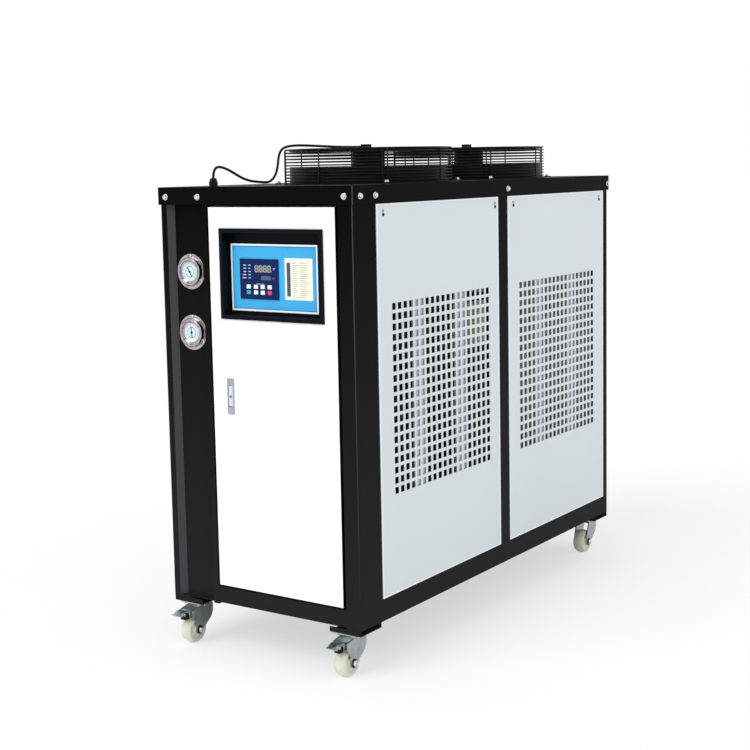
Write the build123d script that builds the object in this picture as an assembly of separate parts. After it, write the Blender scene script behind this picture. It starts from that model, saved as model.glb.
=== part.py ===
"""Air-cooled box water chiller on four swivel casters.

A folded steel frame carries perforated side panels, a white front door with a recessed controller, a column with two
dial gauges and a top cover with two caged axial fans. Millimetres, X across the front, Y from the front to the rear,
Z up. The origin is on the floor under the middle of the whole outline, front brake pedals included.
"""

import os
from math import cos, hypot, pi, radians, sin, tan

from build123d import *

os.makedirs("parts", exist_ok=True)

# Cabinet
COVER_WIDTH = 625.0
COVER_LENGTH = 1435.0
BODY_HEIGHT = 1100.0
FLOOR_CLEARANCE = 130.0
COVER_OVERHANG = 5.0
SKIRT_HEIGHT = 46.0
COVER_SHEET = 2.0

# Frame
FRAME_SHEET = 2.0
END_RAIL_HEIGHT = 43.0
SIDE_RAIL_HEIGHT = 58.0
SIDE_RAIL_DROP = 5.0
RAIL_DEPTH = 40.0
TOP_RAIL_SIZE = 45.0
POST_FRONT_FACE = 43.0
POST_SIDE_FACE = 100.0
POST_RETURN = 22.0
REAR_POST_FACE = 30.0
REAR_POST_DEPTH = 45.0
MIDDLE_POST_FACE = 55.0
MIDDLE_POST_DEPTH = 40.0
MIDDLE_POST_FROM_FRONT = 743.5

# Front left column with the gauge recess
COLUMN_WIDTH = 155.5
COLUMN_OUTER_FLANGE = 19.0
COLUMN_INNER_FLANGE = 17.0
RECESS_DEPTH = 15.0

# Side panels with square perforation
PANEL_SHEET = 2.0
PANEL_PROUD = 1.5
PANEL_FLANGE_DEPTH = 14.0
PANEL_EDGE_GAP = 0.5
HOLE_SIZE = 17.5
HOLE_PITCH = 26.25
HOLES_ACROSS = 19
HOLES_UP = 19
HOLE_FIELD_ABOVE_BASE = 557.0
HOLE_FIELDS_FROM_FRONT = {"front": 414.5, "rear": 1082.5}
STIFFENER_WIDTH = 46.0
STIFFENER_DEPTH = 12.0
STIFFENER_SETBACK = 4.0
STIFFENER_PITCHES = (-4.3, 3.7)

# Door
DOOR_GAP = 6.0
DOOR_HINGE_GAP = 8.0
DOOR_THICKNESS = 20.0
DOOR_SHEET = 1.5
PIVOT_INSET = 10.0
PIVOT_SETBACK = 8.0
PIVOT_RADIUS = 4.0
PIVOT_ENTRY = 14.0
PIVOT_CLEARANCE = 0.08
PIVOT_BLOCK = 19.0

# Controller in its recessed bezel
BEZEL_WIDTH = 329.0
BEZEL_HEIGHT = 233.0
BEZEL_FROM_DOOR_LEFT = 36.0
BEZEL_BOTTOM_ABOVE_BASE = 761.0
BEZEL_RIM = 11.0
BEZEL_PROUD = 4.0
BEZEL_DEPTH = 26.0
BEZEL_WALL = 2.5
CONTROL_PLATE = (277.0, 4.0, 172.0)
PLATE_FROM_RIM = (7.0, 10.0)
CONTROLLER = (124.0, 3.0, 103.0)
CONTROLLER_FROM_PLATE = (30.5, 31.0)

# Flush latch
LATCH_WIDTH = 22.0
LATCH_HEIGHT = 94.0
LATCH_PROUD = 2.0
LATCH_DEPTH = 18.0
LATCH_FROM_DOOR_LEFT = 47.0
LATCH_BOTTOM_ABOVE_BASE = 512.0
LEVER_WIDTH = 14.0
LEVER_LENGTH = 54.0
LEVER_THICKNESS = 6.0
LEVER_CLEARANCE = 1.0
LEVER_PIN_RADIUS = 2.0

# Dial gauges
GAUGE_FLANGE_RADIUS = 46.5
GAUGE_DIAL_RADIUS = 31.0
GAUGE_HEIGHT = 14.0
GAUGE_CASE_DEPTH = 30.0
GAUGE_FROM_COLUMN_EDGE = 85.5
GAUGE_HEIGHTS = (879.0, 718.0)

# Fans
FAN_SPACING = 553.0
FRONT_FAN_FROM_FRONT = 528.0
COLLAR_RADIUS = 219.0
COLLAR_SHEET = 3.0
COLLAR_ABOVE_COVER = 46.0
COLLAR_BELOW_COVER = 24.0
COLLAR_LIP = 8.0
GUARD_RADIUS = 236.0
GUARD_HEIGHT = 95.0
GUARD_WIRE = 3.2
GUARD_SIDE_RINGS = 10
GUARD_TOP_RINGS = 11
GUARD_SIDES = 32
GUARD_SPOKES = 8
GUARD_CENTRE_RADIUS = 62.0
GUARD_TAB_REACH = 20.0
GUARD_TAB_WIDTH = 20.0
GUARD_TAB_SHEET = 2.5
MOTOR_RADIUS = 46.0
MOTOR_CAP_HEIGHT = 22.0
MOTOR_GAP = 1.5
MOTOR_BOSS_RADIUS = 11.0
MOTOR_BOSS_HEIGHT = 14.0
MOTOR_BOSS_OFFSET = 22.0
ROTOR_CAN_HEIGHT = 76.0
SHAFT_RADIUS = 8.0
SHAFT_CLEARANCE = 0.06
BLADES = 5
BLADE_TIP_RADIUS = 211.0
BLADE_ROOT_CHORD = 74.0
BLADE_TIP_CHORD = 150.0
BLADE_ROOT_PITCH = 36.0
BLADE_TIP_PITCH = 21.0
BLADE_SHEET = 2.4
BLADE_CAMBER = 0.07
BLADE_CENTRE_ABOVE_COVER = 12.0

# Fan cable and its gland
CABLE_DIAMETER = 7.0
GLAND_RADIUS = 12.0
GLAND_HEIGHT = 16.0
GLAND_FROM_MIDDLE = 172.0
GLAND_FROM_FRONT = 60.0

# Inner works
TANK_SIZE = (330.0, 326.0, 740.0)
TANK_FROM_FRONT = 923.0
COMPRESSOR_RADIUS = 92.0
COMPRESSOR_HEIGHT = 330.0
COMPRESSOR_FROM_FRONT = 500.0
COIL_HEIGHT = 86.0
COIL_BELOW_COVER = 42.0
COIL_FROM_FRONT = 250.0
COIL_REAR_GAP = 90.0
PAN_SHEET = 3.0

# Casters
CASTER_INSET_X = 57.5
CASTER_INSET_Y = 47.0
CASTER_HEIGHT = 112.0
CASTER_TRAIL = 32.0
CASTER_PLATE = (84.0, 66.0, 3.0)
BRACKET_WIDTH = 96.0
BRACKET_LENGTH = 92.0
BRACKET_SHEET = 3.0
RACE_RADIUS = 25.0
RACE_GAP = 0.3
KINGPIN_RADIUS = 5.0
KINGPIN_CLEARANCE = 0.08
CROWN_SHEET = 4.0
CROWN_DROP = 11.0
WHEEL_RADIUS = 37.5
WHEEL_WIDTH = 33.0
WHEEL_SIDE_GAP = 3.0
WHEEL_RECESS = 4.0
FORK_SHEET = 3.5
AXLE_RADIUS = 4.0
AXLE_CLEARANCE = 0.06
AXLE_NUT_RADIUS = 7.5
AXLE_NUT_HEIGHT = 5.0
PEDAL_PIN_RADIUS = 3.0
PEDAL_PIN_FROM_SWIVEL = 50.0
PEDAL_PIN_HEIGHT = 88.0
PEDAL_LENGTH = 58.0
PEDAL_SHEET = 3.0
PEDAL_WIDTH = 30.0

# Levels and planes worked out from the sizes above
BASE = FLOOR_CLEARANCE
TOP = BASE + BODY_HEIGHT
SKIRT_BOTTOM = TOP - SKIRT_HEIGHT
HALF_WIDTH = COVER_WIDTH / 2 - COVER_OVERHANG
PEDAL_OVERHANG = PEDAL_PIN_FROM_SWIVEL + PEDAL_LENGTH - CASTER_INSET_Y
COVER_FRONT = (PEDAL_OVERHANG - COVER_LENGTH) / 2
COVER_REAR = COVER_FRONT + COVER_LENGTH
FRONT = COVER_FRONT + COVER_OVERHANG
REAR = COVER_REAR - COVER_OVERHANG
FRAME_TOP = TOP - COVER_SHEET
SIDE_RAIL_BOTTOM = BASE - SIDE_RAIL_DROP
SIDE_RAIL_TOP = SIDE_RAIL_BOTTOM + SIDE_RAIL_HEIGHT
END_RAIL_TOP = BASE + END_RAIL_HEIGHT
DOOR_LEFT = -HALF_WIDTH + COLUMN_WIDTH + DOOR_GAP
DOOR_RIGHT = HALF_WIDTH - POST_FRONT_FACE - DOOR_HINGE_GAP
DOOR_BOTTOM = END_RAIL_TOP + DOOR_GAP
DOOR_TOP = SKIRT_BOTTOM - DOOR_GAP
PIVOT = (DOOR_RIGHT - PIVOT_INSET, FRONT + PIVOT_SETBACK)
FAN_CENTRES = {
    "front": COVER_FRONT + FRONT_FAN_FROM_FRONT,
    "rear": COVER_FRONT + FRONT_FAN_FROM_FRONT + FAN_SPACING,
}
GUARD_TOP = TOP + GUARD_HEIGHT


def block(x0, x1, y0, y1, z0, z1):
    """A box between two corners."""
    return Pos((x0 + x1) / 2, (y0 + y1) / 2, (z0 + z1) / 2) * Box(x1 - x0, y1 - y0, z1 - z0)


def cylinder(radius, x, y, z0, z1):
    """An upright cylinder."""
    return Pos(x, y, (z0 + z1) / 2) * Cylinder(radius, z1 - z0)


def cross_pin(radius, x0, x1, y, z):
    """A cylinder lying along X."""
    return Pos((x0 + x1) / 2, y, z) * Rot(0, 90, 0) * Cylinder(radius, x1 - x0)


def folded(points, sheet):
    """Plan outline of a sheet folded along the points, its thickness to the left of the way they run."""
    inner = []
    for i, (x, y) in enumerate(points):
        legs = []
        for a, b in ((i - 1, i), (i, i + 1)):
            if a >= 0 and b < len(points):
                dx = points[b][0] - points[a][0]
                dy = points[b][1] - points[a][1]
                legs.append((-dy / hypot(dx, dy), dx / hypot(dx, dy)))
        nx = sum(leg[0] for leg in legs) / len(legs)
        ny = sum(leg[1] for leg in legs) / len(legs)
        grow = sheet / (nx * nx + ny * ny)
        inner.append((x + nx * grow, y + ny * grow))
    return make_face(Polyline(*points, *reversed(inner), close=True))


def upright(outline, z0, z1):
    """A plan outline standing from z0 to z1."""
    return Pos(0, 0, z0) * extrude(outline, z1 - z0)


def both_sides(solid):
    """A solid and its mirror image on the other side of the cabinet, apart from each other."""
    return Compound(children=[solid, mirror(solid, Plane.YZ)])


def write(name, shape):
    """Writes one named piece."""
    export_step(shape, f"parts/{name}.step")


def top_cover():
    """One sheet with a folded skirt and a round hole for each fan."""
    half_x = COVER_WIDTH / 2
    room = COVER_SHEET
    sheet = block(-half_x, half_x, COVER_FRONT, COVER_REAR, SKIRT_BOTTOM, TOP)
    sheet -= block(
        -half_x + room, half_x - room, COVER_FRONT + room, COVER_REAR - room, SKIRT_BOTTOM - 1, TOP - room
    )
    for y in FAN_CENTRES.values():
        sheet -= cylinder(COLLAR_RADIUS + COLLAR_SHEET, 0, y, SKIRT_BOTTOM, TOP + 1)
    return sheet


def front_left_column():
    """Folded column whose middle is set back to carry the gauges, closed by a sill at its foot."""
    left = -HALF_WIDTH
    right = left + COLUMN_WIDTH
    back = FRONT + RECESS_DEPTH
    slope_end = left + COLUMN_OUTER_FLANGE + RECESS_DEPTH
    wall = right - COLUMN_INNER_FLANGE
    outline = folded(
        [
            (left + POST_RETURN, FRONT + POST_SIDE_FACE),
            (left, FRONT + POST_SIDE_FACE),
            (left, FRONT),
            (left + COLUMN_OUTER_FLANGE, FRONT),
            (slope_end, back),
            (wall, back),
            (wall, FRONT),
            (right, FRONT),
            (right, FRONT + POST_RETURN),
        ],
        FRAME_SHEET,
    )
    column = upright(outline, SIDE_RAIL_BOTTOM, FRAME_TOP)
    sill = make_face(
        Polyline(
            (left + COLUMN_OUTER_FLANGE, FRONT),
            (wall + FRAME_SHEET / 2, FRONT),
            (wall + FRAME_SHEET / 2, back + FRAME_SHEET / 2),
            (slope_end, back + FRAME_SHEET / 2),
            close=True,
        )
    )
    column += upright(sill, BASE, BASE + FRAME_SHEET)
    for height in GAUGE_HEIGHTS:
        column -= along_y(GAUGE_DIAL_RADIUS, gauge_x(), BASE + height, back - 1, back + FRAME_SHEET + 1)
    return column


def gauge_x():
    """Where the gauges' axes stand across the front."""
    return -HALF_WIDTH + GAUGE_FROM_COLUMN_EDGE


def along_y(radius, x, z, y0, y1):
    """A cylinder lying along Y."""
    return Pos(x, (y0 + y1) / 2, z) * Rot(90, 0, 0) * Cylinder(radius, y1 - y0)


def corner_posts():
    """Folded posts at the three plain corners, the front one beside the door."""
    beside_door = folded(
        [
            (HALF_WIDTH - POST_FRONT_FACE, FRONT + POST_RETURN),
            (HALF_WIDTH - POST_FRONT_FACE, FRONT),
            (HALF_WIDTH, FRONT),
            (HALF_WIDTH, FRONT + POST_SIDE_FACE),
            (HALF_WIDTH - POST_RETURN, FRONT + POST_SIDE_FACE),
        ],
        FRAME_SHEET,
    )
    rear = folded(
        [
            (HALF_WIDTH - POST_RETURN, REAR - REAR_POST_FACE),
            (HALF_WIDTH, REAR - REAR_POST_FACE),
            (HALF_WIDTH, REAR),
            (HALF_WIDTH - REAR_POST_DEPTH, REAR),
            (HALF_WIDTH - REAR_POST_DEPTH, REAR - POST_RETURN),
        ],
        FRAME_SHEET,
    )
    posts = [upright(outline, SIDE_RAIL_BOTTOM, FRAME_TOP) for outline in (beside_door, rear)]
    return Compound(children=[*posts, mirror(posts[1], Plane.YZ)])


MIDDLE_POST_Y = (
    COVER_FRONT + MIDDLE_POST_FROM_FRONT - MIDDLE_POST_FACE / 2,
    COVER_FRONT + MIDDLE_POST_FROM_FRONT + MIDDLE_POST_FACE / 2,
)
TOP_RAIL_BOTTOM = FRAME_TOP - TOP_RAIL_SIZE


def middle_posts():
    """Folded channels between the front and rear panels, standing on the side rails."""
    outline = folded(
        [
            (HALF_WIDTH - MIDDLE_POST_DEPTH, MIDDLE_POST_Y[0]),
            (HALF_WIDTH, MIDDLE_POST_Y[0]),
            (HALF_WIDTH, MIDDLE_POST_Y[1]),
            (HALF_WIDTH - MIDDLE_POST_DEPTH, MIDDLE_POST_Y[1]),
        ],
        FRAME_SHEET,
    )
    return both_sides(upright(outline, SIDE_RAIL_TOP, TOP_RAIL_BOTTOM))


def tube_x(x0, x1, y0, y1, z0, z1):
    """A box tube along X."""
    t = FRAME_SHEET
    return block(x0, x1, y0, y1, z0, z1) - block(x0 - 1, x1 + 1, y0 + t, y1 - t, z0 + t, z1 - t)


def tube_y(x0, x1, y0, y1, z0, z1):
    """A box tube along Y."""
    t = FRAME_SHEET
    return block(x0, x1, y0, y1, z0, z1) - block(x0 + t, x1 - t, y0 - 1, y1 + 1, z0 + t, z1 - t)


def pivot_pin(z0, z1):
    """The upright pin that the door turns on."""
    return cylinder(PIVOT_RADIUS, *PIVOT, z0, z1)


def ring_of_rails(end_bottom, side_bottom, end_top, side_top, pin):
    """Four box tubes between the corner posts, the front one with a pivot pin for the door."""
    front = tube_x(
        -HALF_WIDTH + COLUMN_WIDTH, HALF_WIDTH - POST_FRONT_FACE, FRONT, FRONT + RAIL_DEPTH, end_bottom, end_top
    )
    front += pin
    inside = HALF_WIDTH - REAR_POST_DEPTH
    rear = tube_x(-inside, inside, REAR - RAIL_DEPTH, REAR, end_bottom, end_top)
    right = tube_y(
        HALF_WIDTH - RAIL_DEPTH, HALF_WIDTH, FRONT + POST_SIDE_FACE, REAR - REAR_POST_FACE, side_bottom, side_top
    )
    return Compound(children=[front, rear, right, mirror(right, Plane.YZ)])


def bottom_rails():
    """The lower rails, the side ones deeper than the end ones."""
    pin = pivot_pin(END_RAIL_TOP - FRAME_SHEET / 2, DOOR_BOTTOM + PIVOT_ENTRY - 1)
    return ring_of_rails(BASE, SIDE_RAIL_BOTTOM, END_RAIL_TOP, SIDE_RAIL_TOP, pin)


def top_rails():
    """The upper rails behind the cover's skirt."""
    pin = pivot_pin(DOOR_TOP - PIVOT_ENTRY + 1, TOP_RAIL_BOTTOM + FRAME_SHEET / 2)
    return ring_of_rails(TOP_RAIL_BOTTOM, TOP_RAIL_BOTTOM, FRAME_TOP, FRAME_TOP, pin)


def base_pan():
    """The floor sheet between the lower rails."""
    half_x = HALF_WIDTH - RAIL_DEPTH
    return block(-half_x, half_x, FRONT + RAIL_DEPTH, REAR - RAIL_DEPTH, BASE, BASE + PAN_SHEET)


PANEL_SPANS = {
    "front": (FRONT + POST_SIDE_FACE, MIDDLE_POST_Y[0]),
    "rear": (MIDDLE_POST_Y[1], REAR - REAR_POST_FACE),
}
HOLE_FIELDS = {end: COVER_FRONT + distance for end, distance in HOLE_FIELDS_FROM_FRONT.items()}
PANEL_FACE = HALF_WIDTH + PANEL_PROUD
PANEL_BACK = PANEL_FACE - PANEL_SHEET


def perforated_panel(span, middle):
    """A side panel on the right: a sheet with a square field of square holes and a folded rim."""
    y0, y1 = span[0] + PANEL_EDGE_GAP, span[1] - PANEL_EDGE_GAP
    z0, z1 = SIDE_RAIL_TOP + PANEL_EDGE_GAP, TOP_RAIL_BOTTOM - PANEL_EDGE_GAP
    outer = Wire.make_polygon([(y0, z0), (y1, z0), (y1, z1), (y0, z1)], close=True)
    holes = []
    half = HOLE_SIZE / 2
    for row in range(HOLES_UP):
        z = BASE + HOLE_FIELD_ABOVE_BASE + (row - (HOLES_UP - 1) / 2) * HOLE_PITCH
        for column in range(HOLES_ACROSS):
            y = middle + (column - (HOLES_ACROSS - 1) / 2) * HOLE_PITCH
            corners = [(y - half, z - half), (y + half, z - half), (y + half, z + half), (y - half, z + half)]
            holes.append(Wire.make_polygon(corners, close=True))
    face = Plane(origin=(PANEL_BACK, 0, 0), x_dir=(0, 1, 0), z_dir=(1, 0, 0)) * Face(outer, holes)
    panel = extrude(face, PANEL_SHEET, dir=(1, 0, 0))
    lip = PANEL_BACK - PANEL_FLANGE_DEPTH
    rim = block(lip, PANEL_BACK, y0, y1, z0, z1)
    rim -= block(lip - 1, PANEL_BACK + 1, y0 + PANEL_SHEET, y1 - PANEL_SHEET, z0 + PANEL_SHEET, z1 - PANEL_SHEET)
    return panel + rim


def panel_stiffeners():
    """White channels between the upper and lower rims of each side panel, a little behind its perforation."""
    z0 = SIDE_RAIL_TOP + PANEL_EDGE_GAP + PANEL_SHEET
    z1 = TOP_RAIL_BOTTOM - PANEL_EDGE_GAP - PANEL_SHEET
    face = PANEL_BACK - STIFFENER_SETBACK
    back = PANEL_BACK - STIFFENER_DEPTH
    half = STIFFENER_WIDTH / 2
    solids = []
    for middle in HOLE_FIELDS.values():
        for pitches in STIFFENER_PITCHES:
            y = middle + pitches * HOLE_PITCH
            outline = folded([(back, y - half), (face, y - half), (face, y + half), (back, y + half)], FRAME_SHEET)
            right = upright(outline, z0, z1)
            solids += [right, mirror(right, Plane.YZ)]
    return Compound(children=solids)


def rear_panel():
    """The plain closed sheet at the rear, with a folded rim."""
    half_x = HALF_WIDTH - REAR_POST_DEPTH - PANEL_EDGE_GAP
    z0, z1 = END_RAIL_TOP + PANEL_EDGE_GAP, TOP_RAIL_BOTTOM - PANEL_EDGE_GAP
    face = REAR + PANEL_PROUD
    panel = block(-half_x, half_x, face - PANEL_SHEET - PANEL_FLANGE_DEPTH, face, z0, z1)
    panel -= block(
        -half_x + PANEL_SHEET,
        half_x - PANEL_SHEET,
        face - PANEL_SHEET - PANEL_FLANGE_DEPTH - 1,
        face - PANEL_SHEET,
        z0 + PANEL_SHEET,
        z1 - PANEL_SHEET,
    )
    return panel


BEZEL_LEFT = DOOR_LEFT + BEZEL_FROM_DOOR_LEFT
BEZEL_RIGHT = BEZEL_LEFT + BEZEL_WIDTH
BEZEL_BOTTOM = BASE + BEZEL_BOTTOM_ABOVE_BASE
BEZEL_TOP = BEZEL_BOTTOM + BEZEL_HEIGHT
BEZEL_FLOOR = FRONT + BEZEL_DEPTH
LATCH_LEFT = DOOR_LEFT + LATCH_FROM_DOOR_LEFT
LATCH_RIGHT = LATCH_LEFT + LATCH_WIDTH
LATCH_BOTTOM = BASE + LATCH_BOTTOM_ABOVE_BASE
LATCH_TOP = LATCH_BOTTOM + LATCH_HEIGHT
LATCH_RIM = 2.5


def front_door():
    """White folded door with cut-outs for the bezel and the latch, and a bored block at each pivot."""
    y0, y1 = FRONT, FRONT + DOOR_THICKNESS
    t = DOOR_SHEET
    door = block(DOOR_LEFT, DOOR_RIGHT, y0, y1, DOOR_BOTTOM, DOOR_TOP)
    door -= block(DOOR_LEFT + t, DOOR_RIGHT - t, y0 + t, y1 + 1, DOOR_BOTTOM + t, DOOR_TOP - t)
    room = BEZEL_RIM - BEZEL_WALL
    door -= block(BEZEL_LEFT + room, BEZEL_RIGHT - room, y0 - 1, y0 + t + 1, BEZEL_BOTTOM + room, BEZEL_TOP - room)
    door -= block(
        LATCH_LEFT + LATCH_RIM,
        LATCH_RIGHT - LATCH_RIM,
        y0 - 1,
        y0 + t + 1,
        LATCH_BOTTOM + LATCH_RIM,
        LATCH_TOP - LATCH_RIM,
    )
    edge = DOOR_RIGHT - t / 2
    for z0, z1, mouth in ((DOOR_BOTTOM, 0, 1), (0, DOOR_TOP, -1)):
        low = z0 + t / 2 if mouth > 0 else z1 - PIVOT_BLOCK
        high = low + PIVOT_BLOCK - t / 2
        door += block(edge - PIVOT_BLOCK, edge, y0 + t / 2, y1 - t / 2, low, high)
    bore = PIVOT_RADIUS + PIVOT_CLEARANCE
    door -= cylinder(bore, *PIVOT, DOOR_BOTTOM - 1, DOOR_BOTTOM + PIVOT_ENTRY)
    door -= cylinder(bore, *PIVOT, DOOR_TOP - PIVOT_ENTRY, DOOR_TOP + 1)
    return door


def control_bezel():
    """Black tray sunk in the door, with a flat rim that stands proud of it."""
    rim_face = FRONT - BEZEL_PROUD
    bezel = block(BEZEL_LEFT, BEZEL_RIGHT, rim_face, FRONT, BEZEL_BOTTOM, BEZEL_TOP)
    out = BEZEL_RIM - BEZEL_WALL
    bezel += block(
        BEZEL_LEFT + out,
        BEZEL_RIGHT - out,
        FRONT - BEZEL_PROUD / 2,
        BEZEL_FLOOR + BEZEL_WALL,
        BEZEL_BOTTOM + out,
        BEZEL_TOP - out,
    )
    bezel -= block(
        BEZEL_LEFT + BEZEL_RIM,
        BEZEL_RIGHT - BEZEL_RIM,
        rim_face - 1,
        BEZEL_FLOOR,
        BEZEL_BOTTOM + BEZEL_RIM,
        BEZEL_TOP - BEZEL_RIM,
    )
    return bezel


PLATE_LEFT = BEZEL_LEFT + BEZEL_RIM + PLATE_FROM_RIM[0]
PLATE_BOTTOM = BEZEL_BOTTOM + BEZEL_RIM + PLATE_FROM_RIM[1]


def control_plate():
    """The plate on the tray's floor."""
    width, sheet, height = CONTROL_PLATE
    return block(
        PLATE_LEFT, PLATE_LEFT + width, BEZEL_FLOOR - sheet, BEZEL_FLOOR, PLATE_BOTTOM, PLATE_BOTTOM + height
    )


def controller_module():
    """The flat controller on the left of the plate."""
    width, proud, height = CONTROLLER
    x0 = PLATE_LEFT + CONTROLLER_FROM_PLATE[0]
    z0 = PLATE_BOTTOM + CONTROLLER_FROM_PLATE[1]
    y1 = BEZEL_FLOOR - CONTROL_PLATE[1]
    return block(x0, x0 + width, y1 - proud, y1, z0, z0 + height)


LEVER_PIN_Y = FRONT - LATCH_PROUD + 4.0
LEVER_BOTTOM = LATCH_BOTTOM + 21.0
LEVER_PIN_Z = LEVER_BOTTOM + 4.0
LEVER_MIDDLE = (LATCH_LEFT + LATCH_RIGHT) / 2


def latch_case():
    """Flush latch case with a pocket for its lever and the pin across it."""
    face = FRONT - LATCH_PROUD
    case = block(LATCH_LEFT, LATCH_RIGHT, face, FRONT, LATCH_BOTTOM, LATCH_TOP)
    case += block(
        LATCH_LEFT + LATCH_RIM,
        LATCH_RIGHT - LATCH_RIM,
        face + LATCH_PROUD / 2,
        FRONT + LATCH_DEPTH,
        LATCH_BOTTOM + LATCH_RIM,
        LATCH_TOP - LATCH_RIM,
    )
    half = LEVER_WIDTH / 2 + LEVER_CLEARANCE
    case -= block(
        LEVER_MIDDLE - half,
        LEVER_MIDDLE + half,
        face - 1,
        LEVER_PIN_Y + LEVER_THICKNESS,
        LEVER_BOTTOM - LEVER_CLEARANCE * 2,
        LEVER_BOTTOM + LEVER_LENGTH + LEVER_CLEARANCE,
    )
    return case + cross_pin(LEVER_PIN_RADIUS, LEVER_MIDDLE - half, LEVER_MIDDLE + half, LEVER_PIN_Y, LEVER_PIN_Z)


def latch_lever():
    """The lever that swings out of the latch case on its lower pin."""
    half = LEVER_WIDTH / 2
    lever = block(
        LEVER_MIDDLE - half,
        LEVER_MIDDLE + half,
        LEVER_PIN_Y - LEVER_THICKNESS / 2,
        LEVER_PIN_Y + LEVER_THICKNESS / 2,
        LEVER_BOTTOM,
        LEVER_BOTTOM + LEVER_LENGTH,
    )
    bore = LEVER_PIN_RADIUS + AXLE_CLEARANCE
    return lever - cross_pin(bore, LEVER_MIDDLE - half - 1, LEVER_MIDDLE + half + 1, LEVER_PIN_Y, LEVER_PIN_Z)


def pressure_gauges():
    """Two dial gauges: a flange on the recess, a stepped ring around the dial and a case behind."""
    back = FRONT + RECESS_DEPTH
    flange = 3.0
    ring = GAUGE_DIAL_RADIUS + 6.0
    profile = Polyline(
        (0, -GAUGE_CASE_DEPTH),
        (GAUGE_DIAL_RADIUS - 1, -GAUGE_CASE_DEPTH),
        (GAUGE_DIAL_RADIUS - 1, 0),
        (GAUGE_FLANGE_RADIUS, 0),
        (GAUGE_FLANGE_RADIUS, flange),
        (ring + 2, flange),
        (ring, GAUGE_HEIGHT - 2),
        (ring - 2, GAUGE_HEIGHT),
        (GAUGE_DIAL_RADIUS, GAUGE_HEIGHT),
        (GAUGE_DIAL_RADIUS - 2, GAUGE_HEIGHT - 6),
        (0, GAUGE_HEIGHT - 6),
        close=True,
    )
    body = revolve(Plane.XZ * make_face(profile), Axis.Z)
    solids = []
    for height in GAUGE_HEIGHTS:
        solids.append(Pos(gauge_x(), back, BASE + height) * Rot(90, 0, 0) * body)
    return Compound(children=solids)


def fan_collar(y):
    """Spun collar that stands through the cover, with a flat flange on the sheet."""
    inner = COLLAR_RADIUS
    outer = inner + COLLAR_SHEET - 0.3
    high = COLLAR_ABOVE_COVER
    low = -COLLAR_BELOW_COVER
    profile = Polyline(
        (inner, low),
        (outer, low),
        (outer, 0),
        (outer + COLLAR_LIP, 0),
        (outer + COLLAR_LIP, COVER_SHEET),
        (outer, COVER_SHEET),
        (outer, high),
        (inner, high),
        close=True,
    )
    return Pos(0, y, TOP) * revolve(Plane.XZ * make_face(profile), Axis.Z)


def polygon_ring(radius, width):
    """Flat ring with few sides, its corners on the radius."""
    return RegularPolygon(radius, GUARD_SIDES) - RegularPolygon(radius - width, GUARD_SIDES)


def fan_guard():
    """Wire cage over X 0, Y 0: rings round the side, rings and spokes on the top, four tabs on the cover."""
    wire = GUARD_WIRE
    plan = polygon_ring(GUARD_RADIUS, wire)
    plan += Circle(GUARD_CENTRE_RADIUS) - Circle(MOTOR_RADIUS - 10)
    step = (GUARD_RADIUS - GUARD_CENTRE_RADIUS) / (GUARD_TOP_RINGS + 1)
    for n in range(1, GUARD_TOP_RINGS + 1):
        plan += polygon_ring(GUARD_CENTRE_RADIUS + n * step + wire / 2, wire)
    uprights = []
    tabs = []
    reach = GUARD_RADIUS + wire * 0.6
    for n in range(GUARD_SPOKES):
        angle = n * 360 / GUARD_SPOKES
        at_foot = n % 2 == 1
        low = GUARD_TAB_SHEET / 2 if at_foot else GUARD_HEIGHT / (GUARD_SIDE_RINGS + 1) - wire
        for offset in (-GUARD_TAB_WIDTH / 2 + wire, GUARD_TAB_WIDTH / 2 - wire) if at_foot else (0.0,):
            start = GUARD_CENTRE_RADIUS - wire
            spoke = Pos((start + reach) / 2, offset) * Rectangle(reach - start, wire)
            plan += Rot(0, 0, angle) * spoke
            bar = block(reach - wire, reach, offset - wire / 2, offset + wire / 2, low, GUARD_HEIGHT - wire / 2)
            uprights.append(Rot(0, 0, angle) * bar)
        if at_foot:
            half = GUARD_TAB_WIDTH / 2
            tab = block(GUARD_RADIUS - wire, GUARD_RADIUS + GUARD_TAB_REACH + half, -half, half, 0, GUARD_TAB_SHEET)
            tabs.append(Rot(0, 0, angle) * tab)
    cage = Pos(0, 0, GUARD_HEIGHT - wire) * extrude(plan, wire)
    rings = []
    for n in range(1, GUARD_SIDE_RINGS + 1):
        z = n * GUARD_HEIGHT / (GUARD_SIDE_RINGS + 1)
        rings.append(Pos(0, 0, z - wire) * extrude(polygon_ring(GUARD_RADIUS, wire), wire))
    return Pos(0, 0, TOP) * cage.fuse(*rings, *uprights, *tabs)


MOTOR_CAP_TOP = GUARD_TOP - GUARD_WIRE
MOTOR_CAP_BOTTOM = MOTOR_CAP_TOP - MOTOR_CAP_HEIGHT
ROTOR_TOP = MOTOR_CAP_BOTTOM - MOTOR_GAP
SHAFT_ENTRY = 28.0


def fan_motor(y):
    """Fixed motor cap under the cage's middle, its shaft below and a cable box above."""
    motor = cylinder(MOTOR_RADIUS, 0, y, MOTOR_CAP_BOTTOM, MOTOR_CAP_TOP)
    motor += cylinder(SHAFT_RADIUS, 0, y, ROTOR_TOP - SHAFT_ENTRY, MOTOR_CAP_BOTTOM + 1)
    half = MOTOR_BOSS_RADIUS
    motor += block(
        -half, half, y - MOTOR_BOSS_OFFSET, y, MOTOR_CAP_TOP - 1, MOTOR_CAP_TOP + MOTOR_BOSS_HEIGHT
    )
    return motor


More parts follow.
